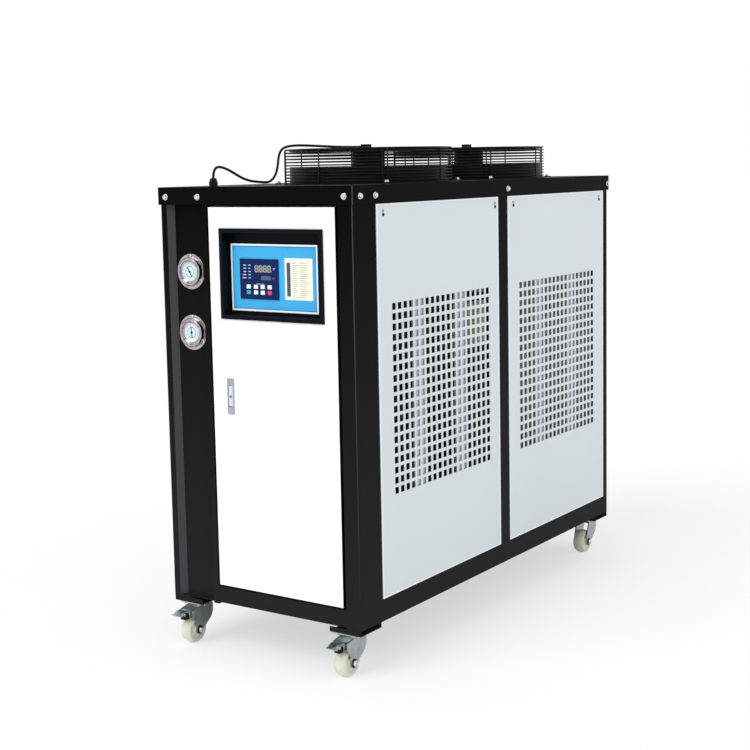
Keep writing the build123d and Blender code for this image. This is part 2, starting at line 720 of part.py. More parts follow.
def blade_section(radius, chord, pitch):
    """Cambered strip across a blade at one radius."""
    rise = chord * BLADE_CAMBER
    half = chord / 2
    t = BLADE_SHEET
    under = ThreePointArc((-half, 0), (0, rise), (half, 0))
    over = ThreePointArc((half, t), (0, rise + t), (-half, t))
    outline = make_face([under, Line((half, 0), (half, t)), over, Line((-half, t), (-half, 0))])
    plane = Plane(origin=(radius, 0, 0), x_dir=(0, 1, 0), z_dir=(1, 0, 0))
    return plane * Rot(0, 0, pitch) * outline


def fan_rotor():
    """External rotor can with twisted, cambered blades, on the axis X 0, Y 0."""
    root = MOTOR_RADIUS - 6.0
    middle = (root + BLADE_TIP_RADIUS) / 2
    sections = [
        blade_section(root, BLADE_ROOT_CHORD, BLADE_ROOT_PITCH),
        blade_section(middle, (BLADE_ROOT_CHORD + BLADE_TIP_CHORD) / 2, (BLADE_ROOT_PITCH + BLADE_TIP_PITCH) / 2),
        blade_section(BLADE_TIP_RADIUS + 4, BLADE_TIP_CHORD, BLADE_TIP_PITCH),
    ]
    blade = loft(sections) & Cylinder(BLADE_TIP_RADIUS, 300)
    z = TOP + BLADE_CENTRE_ABOVE_COVER
    rotor = cylinder(MOTOR_RADIUS, 0, 0, ROTOR_TOP - ROTOR_CAN_HEIGHT, ROTOR_TOP)
    blades = [Rot(0, 0, n * 360 / BLADES) * Pos(0, 0, z) * blade for n in range(BLADES)]
    rotor = rotor.fuse(*blades)
    return rotor - cylinder(SHAFT_RADIUS + SHAFT_CLEARANCE, 0, 0, ROTOR_TOP - SHAFT_ENTRY - 0.3, ROTOR_TOP + 1)


GLAND_X = -GLAND_FROM_MIDDLE
GLAND_Y = COVER_FRONT + GLAND_FROM_FRONT


def cable_gland():
    """Hexagonal gland on the cover with a domed nut, bored for the cable's end."""
    foot = upright(Pos(GLAND_X, GLAND_Y) * RegularPolygon(GLAND_RADIUS, 6), TOP, TOP + GLAND_HEIGHT * 0.55)
    neck = cylinder(GLAND_RADIUS * 0.8, GLAND_X, GLAND_Y, TOP + GLAND_HEIGHT * 0.5, TOP + GLAND_HEIGHT)
    return foot + neck


def cable_route():
    """Corners of the fan cable's path, from the gland over the cover and the cage to the front motor."""
    y = FAN_CENTRES["front"]
    end_z = MOTOR_CAP_TOP + MOTOR_BOSS_HEIGHT / 2
    end_y = y - MOTOR_BOSS_OFFSET / 2
    front = COVER_FRONT
    return [
        (GLAND_X, GLAND_Y, TOP + GLAND_HEIGHT),
        (GLAND_X, GLAND_Y, TOP + 38),
        (GLAND_X, GLAND_Y + 18, TOP + 53),
        (-170, front + 118, TOP + 44),
        (-172, front + 190, TOP + 14),
        (-182, front + 265, TOP + 7),
        (-199, front + 335, TOP + 5),
        (-216, front + 388, TOP + 34),
        (-220, front + 403, TOP + 96),
        (-190, front + 422, TOP + 108),
        (-128, front + 464, TOP + 104),
        (-70, end_y, end_z),
        (-MOTOR_BOSS_RADIUS, end_y, end_z),
    ]


def fan_cable():
    """The cable as a plain tube: straight runs joined by arcs as large as the runs allow."""
    points = [Vector(*p) for p in cable_route()]
    radii = []
    for a, b, c in zip(points, points[1:], points[2:]):
        turn = (b - a).get_angle(c - b)
        radii.append(0.45 * min((b - a).length, (c - b).length) / tan(radians(turn / 2)))
    path = FilletPolyline(*points, radius=radii)
    tube = sweep(Plane(origin=path @ 0, z_dir=path % 0) * Circle(CABLE_DIAMETER / 2), path)
    print("cable arc radii", [round(r, 1) for r in radii])
    print("cable length", round(path.length, 1), "section times length over volume",
          round(path.length * pi * CABLE_DIAMETER**2 / 4 / tube.volume, 4))
    return tube


def water_tank():
    """Insulated tank on the base pan."""
    x, y, z = TANK_SIZE
    middle = COVER_FRONT + TANK_FROM_FRONT
    floor = BASE + PAN_SHEET
    tank = block(-x / 2, x / 2, middle - y / 2, middle + y / 2, floor, floor + z)
    return fillet(tank.edges().filter_by(Axis.Z), 12)


def compressor():
    """Upright welded compressor shell with a domed top and a foot ring."""
    r = COMPRESSOR_RADIUS
    h = COMPRESSOR_HEIGHT
    foot = [(0, 0), (r + 18, 0), (r + 18, 8), (r, 8)]
    dome = [(r * cos(radians(a)), h - 40 + 40 * sin(radians(a))) for a in range(0, 91, 15)]
    shell = revolve(Plane.XZ * make_face(Polyline(*foot, *dome, close=True)), Axis.Z)
    return Pos(0, COVER_FRONT + COMPRESSOR_FROM_FRONT, BASE + PAN_SHEET) * shell


def condenser_coil():
    """Finned coil block that lies under the fans between the middle posts."""
    half_x = HALF_WIDTH - MIDDLE_POST_DEPTH
    z1 = TOP - COIL_BELOW_COVER
    return block(-half_x, half_x, COVER_FRONT + COIL_FROM_FRONT, REAR - COIL_REAR_GAP, z1 - COIL_HEIGHT, z1)


CASTER_X = COVER_WIDTH / 2 - CASTER_INSET_X
CASTER_Y = {"front": COVER_FRONT + CASTER_INSET_Y, "rear": COVER_REAR - CASTER_INSET_Y}


def caster_brackets():
    """Shallow folded channels under the four corners, to which the casters are bolted."""
    solids = []
    t = BRACKET_SHEET
    x0, x1 = HALF_WIDTH - BRACKET_WIDTH, HALF_WIDTH
    for y0, y1 in ((FRONT, FRONT + BRACKET_LENGTH), (REAR - BRACKET_LENGTH, REAR)):
        channel = block(x0, x1, y0, y1, CASTER_HEIGHT, SIDE_RAIL_BOTTOM)
        channel -= block(x0 - 1, x1 + 1, y0 + t, y1 - t, CASTER_HEIGHT + t, SIDE_RAIL_BOTTOM + 1)
        solids += [channel, mirror(channel, Plane.YZ)]
    return Compound(children=solids)


RACE_BOTTOM = CASTER_HEIGHT - CROWN_DROP
KINGPIN_HEAD = 8.0


def caster_plates():
    """Mounting plate, upper bearing race and kingpin of each caster."""
    length, width, sheet = CASTER_PLATE
    solids = []
    for y in CASTER_Y.values():
        for x in (-CASTER_X, CASTER_X):
            plate = block(
                x - width / 2, x + width / 2, y - length / 2, y + length / 2, CASTER_HEIGHT - sheet, CASTER_HEIGHT
            )
            plate += cylinder(RACE_RADIUS, x, y, RACE_BOTTOM + RACE_GAP, CASTER_HEIGHT - 1)
            crown_bottom = RACE_BOTTOM - CROWN_SHEET
            plate += cylinder(KINGPIN_RADIUS, x, y, crown_bottom - KINGPIN_HEAD / 2, CASTER_HEIGHT - 1)
            plate += cylinder(KINGPIN_HEAD, x, y, crown_bottom - KINGPIN_HEAD / 2, crown_bottom - RACE_GAP)
            solids.append(plate)
    return Compound(children=solids)


LEG_INNER = WHEEL_WIDTH / 2 + WHEEL_SIDE_GAP
LEG_OUTER = LEG_INNER + FORK_SHEET


def caster_fork(x, y, braked):
    """Crown, two legs and the axle, with the wheel trailing to the front."""
    axle_y = -CASTER_TRAIL
    top = RACE_BOTTOM
    outline = [(RACE_RADIUS - 1, top), (RACE_RADIUS - 1, top - 24), (RACE_RADIUS - 9, top - 40)]
    outline += [(axle_y + 10, WHEEL_RADIUS - 4), (axle_y - 10, WHEEL_RADIUS - 4), (axle_y - 12, WHEEL_RADIUS + 20)]
    if braked:
        outline += [(-PEDAL_PIN_FROM_SWIVEL - 7, PEDAL_PIN_HEIGHT - 12), (-PEDAL_PIN_FROM_SWIVEL - 7, top - 6)]
    outline += [(-RACE_RADIUS - 3, top)]
    leg = make_face(Polyline(*outline, close=True)) + Pos(axle_y, WHEEL_RADIUS) * Circle(11.5)
    plane = Plane(origin=(LEG_INNER, 0, 0), x_dir=(0, 1, 0), z_dir=(1, 0, 0))
    right = extrude(plane * leg, FORK_SHEET, dir=(1, 0, 0))
    fork = block(-LEG_OUTER, LEG_OUTER, -RACE_RADIUS - 3, RACE_RADIUS - 1, top - CROWN_SHEET, top)
    fork += cylinder(RACE_RADIUS + 1.5, 0, 0, top - CROWN_SHEET, top)
    fork = fork.fuse(right, mirror(right, Plane.YZ))
    fork -= cylinder(KINGPIN_RADIUS + KINGPIN_CLEARANCE, 0, 0, top - CROWN_SHEET - 1, top + 1)
    fork += cross_pin(AXLE_RADIUS, -LEG_OUTER, LEG_OUTER, axle_y, WHEEL_RADIUS)
    for side in (-1, 1):
        ends = sorted((side * LEG_OUTER, side * (LEG_OUTER + AXLE_NUT_HEIGHT)))
        nut = Rot(0, 90, 0) * extrude(RegularPolygon(AXLE_NUT_RADIUS, 6), ends[1] - ends[0])
        fork += Pos(ends[0], axle_y, WHEEL_RADIUS) * nut
    if braked:
        fork += cross_pin(PEDAL_PIN_RADIUS, -LEG_OUTER, LEG_OUTER, -PEDAL_PIN_FROM_SWIVEL, PEDAL_PIN_HEIGHT)
    return Pos(x, y, 0) * fork


def caster_wheel(x, y):
    """Nylon wheel with a crowned tread, a recessed web and a hub on the axle."""
    half = WHEEL_WIDTH / 2
    r = WHEEL_RADIUS
    edge = 5.0
    web = half - WHEEL_RECESS
    tread = ThreePointArc((r - edge, half), (r, 0), (r - edge, -half))
    rest = Polyline(
        (r - edge, -half),
        (r - edge - 6, -half),
        (r - edge - 8, -web),
        (14, -web),
        (13, -half - 1.5),
        (AXLE_RADIUS + AXLE_CLEARANCE, -half - 1.5),
        (AXLE_RADIUS + AXLE_CLEARANCE, half + 1.5),
        (13, half + 1.5),
        (14, web),
        (r - edge - 8, web),
        (r - edge - 6, half),
        (r - edge, half),
    )
    wheel = revolve(Plane.XZ * make_face([tread, rest]), Axis.Z)
    return Pos(x, y - CASTER_TRAIL, WHEEL_RADIUS) * Rot(0, 90, 0) * wheel


def brake_pedal(x, y):
    """Pedal plate on its pin across the fork, with a brake shoe above the tread."""
    half = PEDAL_WIDTH / 2
    start = -PEDAL_PIN_FROM_SWIVEL + 6
    end = -PEDAL_PIN_FROM_SWIVEL - PEDAL_LENGTH
    z = PEDAL_PIN_HEIGHT
    outline = folded(
        [(start, z + 4), (-PEDAL_PIN_FROM_SWIVEL - 12, z + 4), (end + 18, z - 4), (end, z - 4)], PEDAL_SHEET
    )
    plane = Plane(origin=(-half, 0, 0), x_dir=(0, 1, 0), z_dir=(1, 0, 0))
    pedal = extrude(plane * outline, 2 * half, dir=(1, 0, 0))
    eye = PEDAL_PIN_RADIUS + 3.0
    for side in (-1, 1):
        ends = sorted((side * half, side * (half - 4)))
        pedal += cross_pin(eye, *ends, -PEDAL_PIN_FROM_SWIVEL, z)
    shoe_y = -PEDAL_PIN_FROM_SWIVEL - 14
    pedal += block(-8, 8, shoe_y - 6, shoe_y + 6, z - 11, z + 2)
    pedal -= cross_pin(PEDAL_PIN_RADIUS + AXLE_CLEARANCE, -half - 1, half + 1, -PEDAL_PIN_FROM_SWIVEL, z)
    return Pos(x, y, 0) * pedal


write("top_cover", top_cover())
write("front_left_column", front_left_column())
write("corner_posts", corner_posts())
write("middle_posts", middle_posts())
write("bottom_rails", bottom_rails())
write("top_rails", top_rails())
write("base_pan", base_pan())
for end, span in PANEL_SPANS.items():
    panel = perforated_panel(span, HOLE_FIELDS[end])
    write(f"right_{end}_panel", panel)
    write(f"left_{end}_panel", mirror(panel, Plane.YZ))
write("panel_stiffeners", panel_stiffeners())
write("rear_panel", rear_panel())
write("front_door", front_door())
write("control_bezel", control_bezel())
write("control_plate", control_plate())
write("controller_module", controller_module())
write("latch_case", latch_case())
write("latch_lever", latch_lever())
write("pressure_gauges", pressure_gauges())
guard = fan_guard()
rotor = fan_rotor()
for end, y in FAN_CENTRES.items():
    write(f"{end}_fan_collar", fan_collar(y))
    write(f"{end}_fan_guard", Pos(0, y, 0) * guard)
    write(f"{end}_fan_motor", fan_motor(y))
    write(f"{end}_fan_rotor", Pos(0, y, 0) * rotor)
write("cable_gland", cable_gland())
write("fan_cable", fan_cable())
write("water_tank", water_tank())
write("compressor", compressor())
write("condenser_coil", condenser_coil())
write("caster_brackets", caster_brackets())
write("caster_plates", caster_plates())
for end, y in CASTER_Y.items():
    for name, x in (("left", -CASTER_X), ("right", CASTER_X)):
        write(f"{end}_{name}_fork", caster_fork(x, y, end == "front"))
        write(f"{end}_{name}_wheel", caster_wheel(x, y))
        if end == "front":
            write(f"{end}_{name}_pedal", brake_pedal(x, y))
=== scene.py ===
# %% [markdown]
# # An air-cooled water chiller, dressed in Blender
# The chiller is a powder-coated steel box on four casters, with two caged fans in its top. Its frame,
# panels, door and moving parts come as fixed CAD bodies, in metres. These cells add what the eye looks for:
# finishes, bolts, dials, the controller's face, round cage wire and the fan cable. A CAD body is never
# moved, so each new piece is placed from the corners of the CAD node that carries it.

# %% Load the CAD bodies
from math import cos, pi, radians, sin

import bmesh
import bpy
from mathutils import Matrix, Vector


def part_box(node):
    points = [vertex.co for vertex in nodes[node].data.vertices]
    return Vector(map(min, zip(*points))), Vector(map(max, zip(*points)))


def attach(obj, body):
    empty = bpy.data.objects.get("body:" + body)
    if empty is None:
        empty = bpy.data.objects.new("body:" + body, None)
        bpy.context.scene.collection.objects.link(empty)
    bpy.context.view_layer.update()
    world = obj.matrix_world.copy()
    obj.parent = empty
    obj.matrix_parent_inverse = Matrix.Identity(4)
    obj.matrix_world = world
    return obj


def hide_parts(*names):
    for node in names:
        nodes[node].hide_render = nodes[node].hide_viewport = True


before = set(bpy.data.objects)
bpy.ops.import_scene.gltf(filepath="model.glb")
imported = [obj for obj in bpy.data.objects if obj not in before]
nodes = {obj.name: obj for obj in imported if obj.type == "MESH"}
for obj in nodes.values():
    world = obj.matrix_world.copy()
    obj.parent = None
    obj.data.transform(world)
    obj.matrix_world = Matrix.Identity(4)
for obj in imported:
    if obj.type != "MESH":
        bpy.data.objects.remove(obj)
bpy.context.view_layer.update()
MM = 0.001

# %% [markdown]
# ## Where the camera stands
# The picture was taken from the right of the door, a little above the top cover, with a long lens. Upright
# edges and the rows of square holes fix the place and the lens well, so both are written here as measured.
# The camera's sideways and upward directions make its rotation matrix directly, which is plainer than three
# Euler angles.

# %% The camera
CAMERA_PLACE = Vector((2.275, -3.477, 1.277))
CAMERA_FORWARD = Vector((-0.5607, 0.8197, -0.1169)).normalized()
CAMERA_RIGHT = Vector((0.8265, 0.5626, -0.0194))
FOCAL_PIXELS = 1421.0
IMAGE_SIDE = 750.0
OPTICAL_CENTRE = (373.5, 332.5)

lens = bpy.data.cameras.new("camera")
lens.sensor_width = 36.0
lens.lens = FOCAL_PIXELS / IMAGE_SIDE * lens.sensor_width
lens.shift_x = (IMAGE_SIDE / 2 - OPTICAL_CENTRE[0]) / IMAGE_SIDE
lens.shift_y = (OPTICAL_CENTRE[1] - IMAGE_SIDE / 2) / IMAGE_SIDE
camera = bpy.data.objects.new("camera", lens)
bpy.context.scene.collection.objects.link(camera)
bpy.context.scene.camera = camera
up = CAMERA_RIGHT.cross(CAMERA_FORWARD).normalized()
right = CAMERA_FORWARD.cross(up).normalized()
turn = Matrix((right, up, -CAMERA_FORWARD)).transposed().to_4x4()
camera.matrix_world = Matrix.Translation(CAMERA_PLACE) @ turn
print("lens", round(lens.lens, 1), "mm, shift", round(lens.shift_x, 3), round(lens.shift_y, 3))

# %% [markdown]
# ## Light that keeps colours as they are written
# A product picture has light from all round and one soft stronger side. Suns and the sky light every point
# of a large floor alike, where area lamps would leave a bright patch. The sky shows the camera and any
# gloss a plain white, and gives everything else a calmer level.


# %% Colour and node helpers, sky and suns
def linear(hex_colour):
    """An sRGB hex colour such as "45B4F0" as linear red, green, blue and alpha 1."""
    values = [int(hex_colour[i : i + 2], 16) / 255 for i in (0, 2, 4)]
    return [v / 12.92 if v <= 0.04045 else ((v + 0.055) / 1.055) ** 2.4 for v in values] + [1.0]


def add(tree, kind, settings=(), links=()):
    """Adds a node of a kind, sets its properties and inputs by name, and links other sockets to it."""
    node = tree.nodes.new(kind)
    for name, value in dict(settings).items():
        if isinstance(name, int) or name in node.inputs:
            node.inputs[name].default_value = value
        else:
            setattr(node, name, value)
    for name, socket in dict(links).items():
        tree.links.new(socket, node.inputs[name])
    return node


SKY_FOR_LIGHT = 0.7
SKY_SEEN = 1.0
bpy.context.scene.view_settings.view_transform = "Standard"
world = bpy.data.worlds.new("studio")
bpy.context.scene.world = world
world.use_nodes = True
sky = world.node_tree
sky.nodes.clear()
path = add(sky, "ShaderNodeLightPath")
direct = {0: path.outputs["Is Camera Ray"], 1: path.outputs["Is Glossy Ray"]}
seen = add(sky, "ShaderNodeMath", {"operation": "MAXIMUM"}, direct)
dim = add(sky, "ShaderNodeBackground", {"Color": linear("FFFFFF"), "Strength": SKY_FOR_LIGHT})
white = add(sky, "ShaderNodeBackground", {"Color": linear("FFFFFF"), "Strength": SKY_SEEN})
mixed = add(sky, "ShaderNodeMixShader", {}, {0: seen.outputs[0], 1: dim.outputs[0], 2: white.outputs[0]})
add(sky, "ShaderNodeOutputWorld", {}, {"Surface": mixed.outputs[0]})

SUNS = {
    "key_sun": (1.3, 40.0, (0.25, 0.8, -0.85)),
    "side_sun": (0.35, 60.0, (-0.9, 0.2, -0.5)),
}
for name, (strength, softness, direction) in SUNS.items():
    sun = bpy.data.lights.new(name, "SUN")
    sun.energy = strength
    sun.angle = radians(softness)
    lamp = bpy.data.objects.new(name, sun)
    lamp.rotation_mode = "QUATERNION"
    lamp.rotation_quaternion = Vector(direction).to_track_quat("-Z", "Y")
    bpy.context.scene.collection.objects.link(lamp)
    print(name, "strength", strength)

# %% [markdown]
# ## Shaping tools
# A few small tools make every added piece: a box with rounded edges, a turned solid, a bent sheet, round
# wire along a path, and one that turns a finished mesh into an object. A turned solid is a profile of
# radius and height that the spin operator sweeps round an axis, so it serves for bolts, dials and washers
# alike. Profiles are written in millimetres, since that is how such parts are drawn.


# %% Mesh tools
def box(mesh, low, high, bevel=0.0, spin=None):
    """Adds a box between two corners, turned by the matrix spin if given, with edges rounded by the bevel."""
    low, high = Vector(low), Vector(high)
    place = Matrix.Translation((low + high) / 2) @ Matrix.Diagonal((*(high - low), 1.0))
    verts = bmesh.ops.create_cube(mesh, size=1.0, matrix=spin @ place if spin else place)["verts"]
    if bevel:
        edges = list({edge for vert in verts for edge in vert.link_edges})
        bmesh.ops.bevel(mesh, geom=edges, offset=bevel, segments=2, profile=0.5, affect="EDGES", material=-1)


def join(mesh, part):
    """Adds one finished bmesh to another and frees it."""
    data = bpy.data.meshes.new("part")
    part.to_mesh(data)
    part.free()
    mesh.from_mesh(data)
    bpy.data.meshes.remove(data)


def turned(mesh, place, axis, profile, segments=24, closed=False):
    """Adds a solid of revolution of a profile of radius and height along the axis; closed makes a ring."""
    part = bmesh.new()
    verts = [part.verts.new((radius, 0, height)) for radius, height in profile]
    around = verts + verts[:1] if closed else verts
    edges = [part.edges.new(pair) for pair in zip(around, around[1:])]
    sweep = {"cent": (0, 0, 0), "axis": (0, 0, 1), "angle": 2 * pi, "steps": segments, "use_merge": True}
    bmesh.ops.spin(part, geom=verts + edges, **sweep)
    bmesh.ops.remove_doubles(part, verts=part.verts, dist=1e-6)
    bmesh.ops.recalc_face_normals(part, faces=part.faces)
    tilt = Vector(axis).to_track_quat("Z", "Y").to_matrix().to_4x4()
    bmesh.ops.transform(part, matrix=Matrix.Translation(place) @ tilt, verts=part.verts)
    join(mesh, part)


def in_mm(profile):
    """A profile written in millimetres, in metres."""
    return [(radius * MM, height * MM) for radius, height in profile]


def bent_sheet(mesh, points, left, right, thickness):
    """Adds a sheet bent along points of y and z, from the left to the right in x."""
    part = bmesh.new()
    verts = [part.verts.new((left, y, z)) for y, z in points]
    edges = [part.edges.new(pair) for pair in zip(verts, verts[1:])]
    grown = bmesh.ops.extrude_edge_only(part, edges=edges)["geom"]
    moved = [item for item in grown if isinstance(item, bmesh.types.BMVert)]
    bmesh.ops.translate(part, vec=(right - left, 0, 0), verts=moved)
    bmesh.ops.recalc_face_normals(part, faces=part.faces)
    bmesh.ops.solidify(part, geom=part.faces, thickness=thickness)
    bmesh.ops.recalc_face_normals(part, faces=part.faces)
    join(mesh, part)


def finish(thing, name, body=None, material=None, smooth=None):
    """Makes an object of a bmesh or a curve that rides on a body, with edges under smooth degrees blended."""
    data = thing
    if isinstance(thing, bmesh.types.BMesh):
        data = bpy.data.meshes.new(name)
        thing.to_mesh(data)
        thing.free()
        if smooth is not None:
            data.shade_smooth()
            data.set_sharp_from_angle(angle=radians(smooth))
    piece = bpy.data.objects.new(name, data)
    bpy.context.scene.collection.objects.link(piece)
    if material:
        data.materials.append(material)
    if body:
        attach(piece, body)
    return piece


def wires(name, paths, diameter, kind="POLY"):
    """A curve of round wires. Each path is a list of points and whether the wire closes on itself."""
    curve = bpy.data.curves.new(name, "CURVE")
    curve.dimensions = "3D"
    curve.bevel_depth = diameter / 2
    curve.bevel_resolution = 2
    curve.resolution_u = 12
    curve.use_fill_caps = True
    for points, cyclic in paths:
        spline = curve.splines.new(kind)
        spline.points.add(len(points) - 1)
        for knot, point in zip(spline.points, points):
            knot.co = (*point, 1.0)
        spline.use_cyclic_u = cyclic
        if kind == "NURBS":
            spline.order_u = 3
            spline.use_endpoint_u = True
    return curve


# %% [markdown]
# ## Powder coat and moulded plastic
# Powder coat is plastic baked on steel. It lies as a fine orange peel with a soft gloss, and it is the same
# colour all over apart from a trace of handling marks. Moulded plastic, rubber and nylon differ from it
# mostly in gloss, so one recipe serves them all: a wide noise that moves the shade and the roughness a
# little, a fine noise for the skin, and a bevel in the shading that rounds every sheet edge so it catches a
# line of light.

# %% Coats and plastics
PEEL_SPACING = 2.5 * MM
PEEL_DEPTH = 0.4 * MM
HANDLING_PATCH = 180 * MM
EDGE_ROUNDING = 1.1 * MM
NOISE_LOW, NOISE_HIGH = 0.3, 0.7
GLOSS_SPREAD = 0.05


def new_material(name):
    """An empty node material and its Principled shader, wired to the output."""
    material = bpy.data.materials.new(name)
    material.use_nodes = True
    tree = material.node_tree
    tree.nodes.clear()
    shader = add(tree, "ShaderNodeBsdfPrincipled")
    add(tree, "ShaderNodeOutputMaterial", {}, {"Surface": shader.outputs[0]})
    return material, tree, shader


def object_noise(tree, spacing, detail=2.0, stretch=(1.0, 1.0, 1.0)):
    """A noise fixed to the object, its lumps about spacing metres apart."""
    place = add(tree, "ShaderNodeTexCoord")
    scaled = add(tree, "ShaderNodeMapping", {"Scale": stretch}, {"Vector": place.outputs["Object"]})
    size = {"Scale": 1.0 / spacing, "Detail": detail}
    return add(tree, "ShaderNodeTexNoise", size, {"Vector": scaled.outputs[0]})


def vary(tree, noise, shader, colour, tint, roughness, spread):
    """Lets a noise move the colour by the share tint and the roughness by spread, up and down."""
    base = linear(colour)[:3]
    ends = (NOISE_LOW, NOISE_HIGH)
    shades = add(tree, "ShaderNodeValToRGB", {}, {"Fac": noise.outputs[0]})
    for element, position, share in zip(shades.color_ramp.elements, ends, (1 - tint, 1 + tint)):
        element.position = position
        element.color = [min(1.0, v * share) for v in base] + [1.0]
    limits = {"From Min": NOISE_LOW, "From Max": NOISE_HIGH}
    limits.update({"To Min": roughness - spread, "To Max": roughness + spread})
    level = add(tree, "ShaderNodeMapRange", limits, {"Value": noise.outputs[0]})
    tree.links.new(shades.outputs[0], shader.inputs["Base Color"])
    tree.links.new(level.outputs[0], shader.inputs["Roughness"])


def skin(tree, noise, shader, strength, rounding):
    """Bumps the surface with a fine noise and rounds its edges in the shading."""
    relief = {"Strength": strength, "Distance": PEEL_DEPTH}
    bump = add(tree, "ShaderNodeBump", relief, {"Height": noise.outputs[0]})
    if rounding:
        edge = add(tree, "ShaderNodeBevel", {"samples": 4, "Radius": rounding})
        tree.links.new(edge.outputs[0], bump.inputs["Normal"])
    tree.links.new(bump.outputs[0], shader.inputs["Normal"])


def coat(
    name, colour, roughness, specular, tint=0.04, peel=0.1, spacing=PEEL_SPACING, rounding=EDGE_ROUNDING
):
    """A smooth coated or moulded finish. Its edges are rounded in the shading unless rounding is 0."""
    material, tree, shader = new_material(name)
    vary(tree, object_noise(tree, HANDLING_PATCH, 4.0), shader, colour, tint, roughness, GLOSS_SPREAD)
    skin(tree, object_noise(tree, spacing), shader, peel, rounding)
    shader.inputs["Specular IOR Level"].default_value = specular
    return material


# Powder coat: a satin that keeps black steel deep and the white door even.
black_coat = coat("black_powder_coat", "0B0B0C", 0.4, 0.018, tint=0.12)
column_coat = coat("column_black_powder_coat", "0B0B0C", 0.4, 0.018, tint=0.12)
# Painted highlight: a paler grey for the line of light on the folded corners of the cover and the posts.
painted_edge_highlight = coat("painted_highlight_on_folds", "4E4E50", 0.4, 0.02, tint=0.05)
door_coat = coat("white_powder_coat", "FBFBFB", 0.4, 0.35, tint=0.008, peel=0.06)
# Painted highlight: pure white for the line of light round the side panels' edges.
painted_panel_edge_highlight = coat("painted_highlight_on_panel_edges", "FFFFFF", 0.35, 0.3, tint=0.005, peel=0.04)
panel_coat = coat("grey_white_powder_coat", "DAE1E5", 0.45, 0.25, tint=0.012)
# Painted shade: the stiffeners carry the panels' own paint, made greyer for the shade behind the perforated
# sheet.
stiffener_coat_painted_shade = coat("stiffener_coat_with_painted_shade", "C9D2D8", 0.5, 0.25, tint=0.02)
# Wire dipped in plastic and enamelled fan parts: wetter than powder, so they show small glints.
wire_coat = coat("black_dipped_wire", "0C0C0E", 0.42, 0.15, tint=0.1, rounding=0)
fan_enamel = coat("fan_black_enamel", "0B0B0D", 0.38, 0.15, tint=0.15)
# Moulded ABS and nylon, and rubber: a coarser skin, with hardly a highlight on the rubber.
black_abs = coat("moulded_blue_black_abs", "090F15", 0.4, 0.06, tint=0.1, peel=0.2, spacing=1.6 * MM)
gland_nylon = coat("gland_black_nylon", "0B0B0C", 0.5, 0.2, tint=0.1)
cable_rubber = coat("black_cable_rubber", "0E0E10", 0.5, 0.15, tint=0.12, peel=0.2, rounding=0)
pad_rubber = coat("dark_brake_rubber", "191916", 0.7, 0.2, tint=0.15, peel=0.3)
# Small painted parts: the rivets and the latch, whose lever is a paler coat than its case.
rivet_grey = coat("dull_grey_rivet", "757B7F", 0.45, 0.2, tint=0.1, rounding=0)
latch_frame = coat("latch_frame_grey_coat", "A0A4AA", 0.35, 0.3, tint=0.06)
latch_light = coat("latch_lever_pale_coat", "D2D6E2", 0.3, 0.35, tint=0.05)
# Printed film: glossy, flat and even, the strongest colours on the machine.
blue_film = coat("blue_printed_film", "40B2EC", 0.3, 0.25, tint=0.015, peel=0.03, rounding=0.4 * MM)
navy_film = coat("navy_keypad_film", "08255C", 0.3, 0.1, tint=0.06, peel=0.04, rounding=0.4 * MM)


def shader_of(material):
    """The Principled shader of a material."""
    return next(node for node in material.node_tree.nodes if node.type == "BSDF_PRINCIPLED")


# Cast nylon lets some light in, which softens the shade side of a wheel.
nylon = coat("cast_white_nylon", "DEE0CE", 0.36, 0.4, tint=0.05, peel=0.12, spacing=4 * MM)
shader_of(nylon).inputs["Subsurface Weight"].default_value = 0.3
shader_of(nylon).inputs["Subsurface Scale"].default_value = 3 * MM

# %% [markdown]
# ### Where a coat changes
# Near the floor the black steel is greyer: partly fine dust that lies on it, and partly painted light for
# the pale floor shining back at it. The column of the gauges is one folded sheet, and its slanting fold
# has a painted highlight, a satin grey stripe where that face turns to the light. The door's hinge edge is
# painted near black, a painted shadow for the gap beside the post. Object space finds all three, so they
# stay in place from every side.

# %% Painted floor light with dust, painted fold highlight and painted edge shade
FLOOR_LIGHT_AND_DUST_FROM = 1.15
FLOOR_LIGHT_AND_DUST_FULL = 0.15
FLOOR_LIGHT_AND_DUST_GREY = "242425"
LIT_FOLD_FACING = (0.7071, -0.7071, 0.0)
PAINTED_SHADE_DEPTH = 0.8 * MM


def mix_in(material, share, colour):
    """Mixes a colour over the coat's own by a share that comes from a socket."""
    tree, shader = material.node_tree, shader_of(material)
    plain = shader.inputs["Base Color"].links[0].from_socket
    mix = add(tree, "ShaderNodeMix", {"data_type": "RGBA"}, {0: share, 6: plain})
    mix.inputs[7].default_value = linear(colour)
    tree.links.new(mix.outputs[2], shader.inputs["Base Color"])


# Painted light and dust: toward the floor these coats blend to a dull grey. On black steel it is dust and a
# painted bounce of light from the floor; on the edge highlight it fades that painted highlight.
for material in (black_coat, column_coat, painted_edge_highlight):
    tree = material.node_tree
    place = add(tree, "ShaderNodeTexCoord")
    height = add(tree, "ShaderNodeSeparateXYZ", {}, {0: place.outputs["Object"]})
    limits = {"From Min": FLOOR_LIGHT_AND_DUST_FROM, "From Max": FLOOR_LIGHT_AND_DUST_FULL}
    floor_light_and_dust = add(tree, "ShaderNodeMapRange", limits, {"Value": height.outputs[2]})
    mix_in(material, floor_light_and_dust.outputs[0], FLOOR_LIGHT_AND_DUST_GREY)

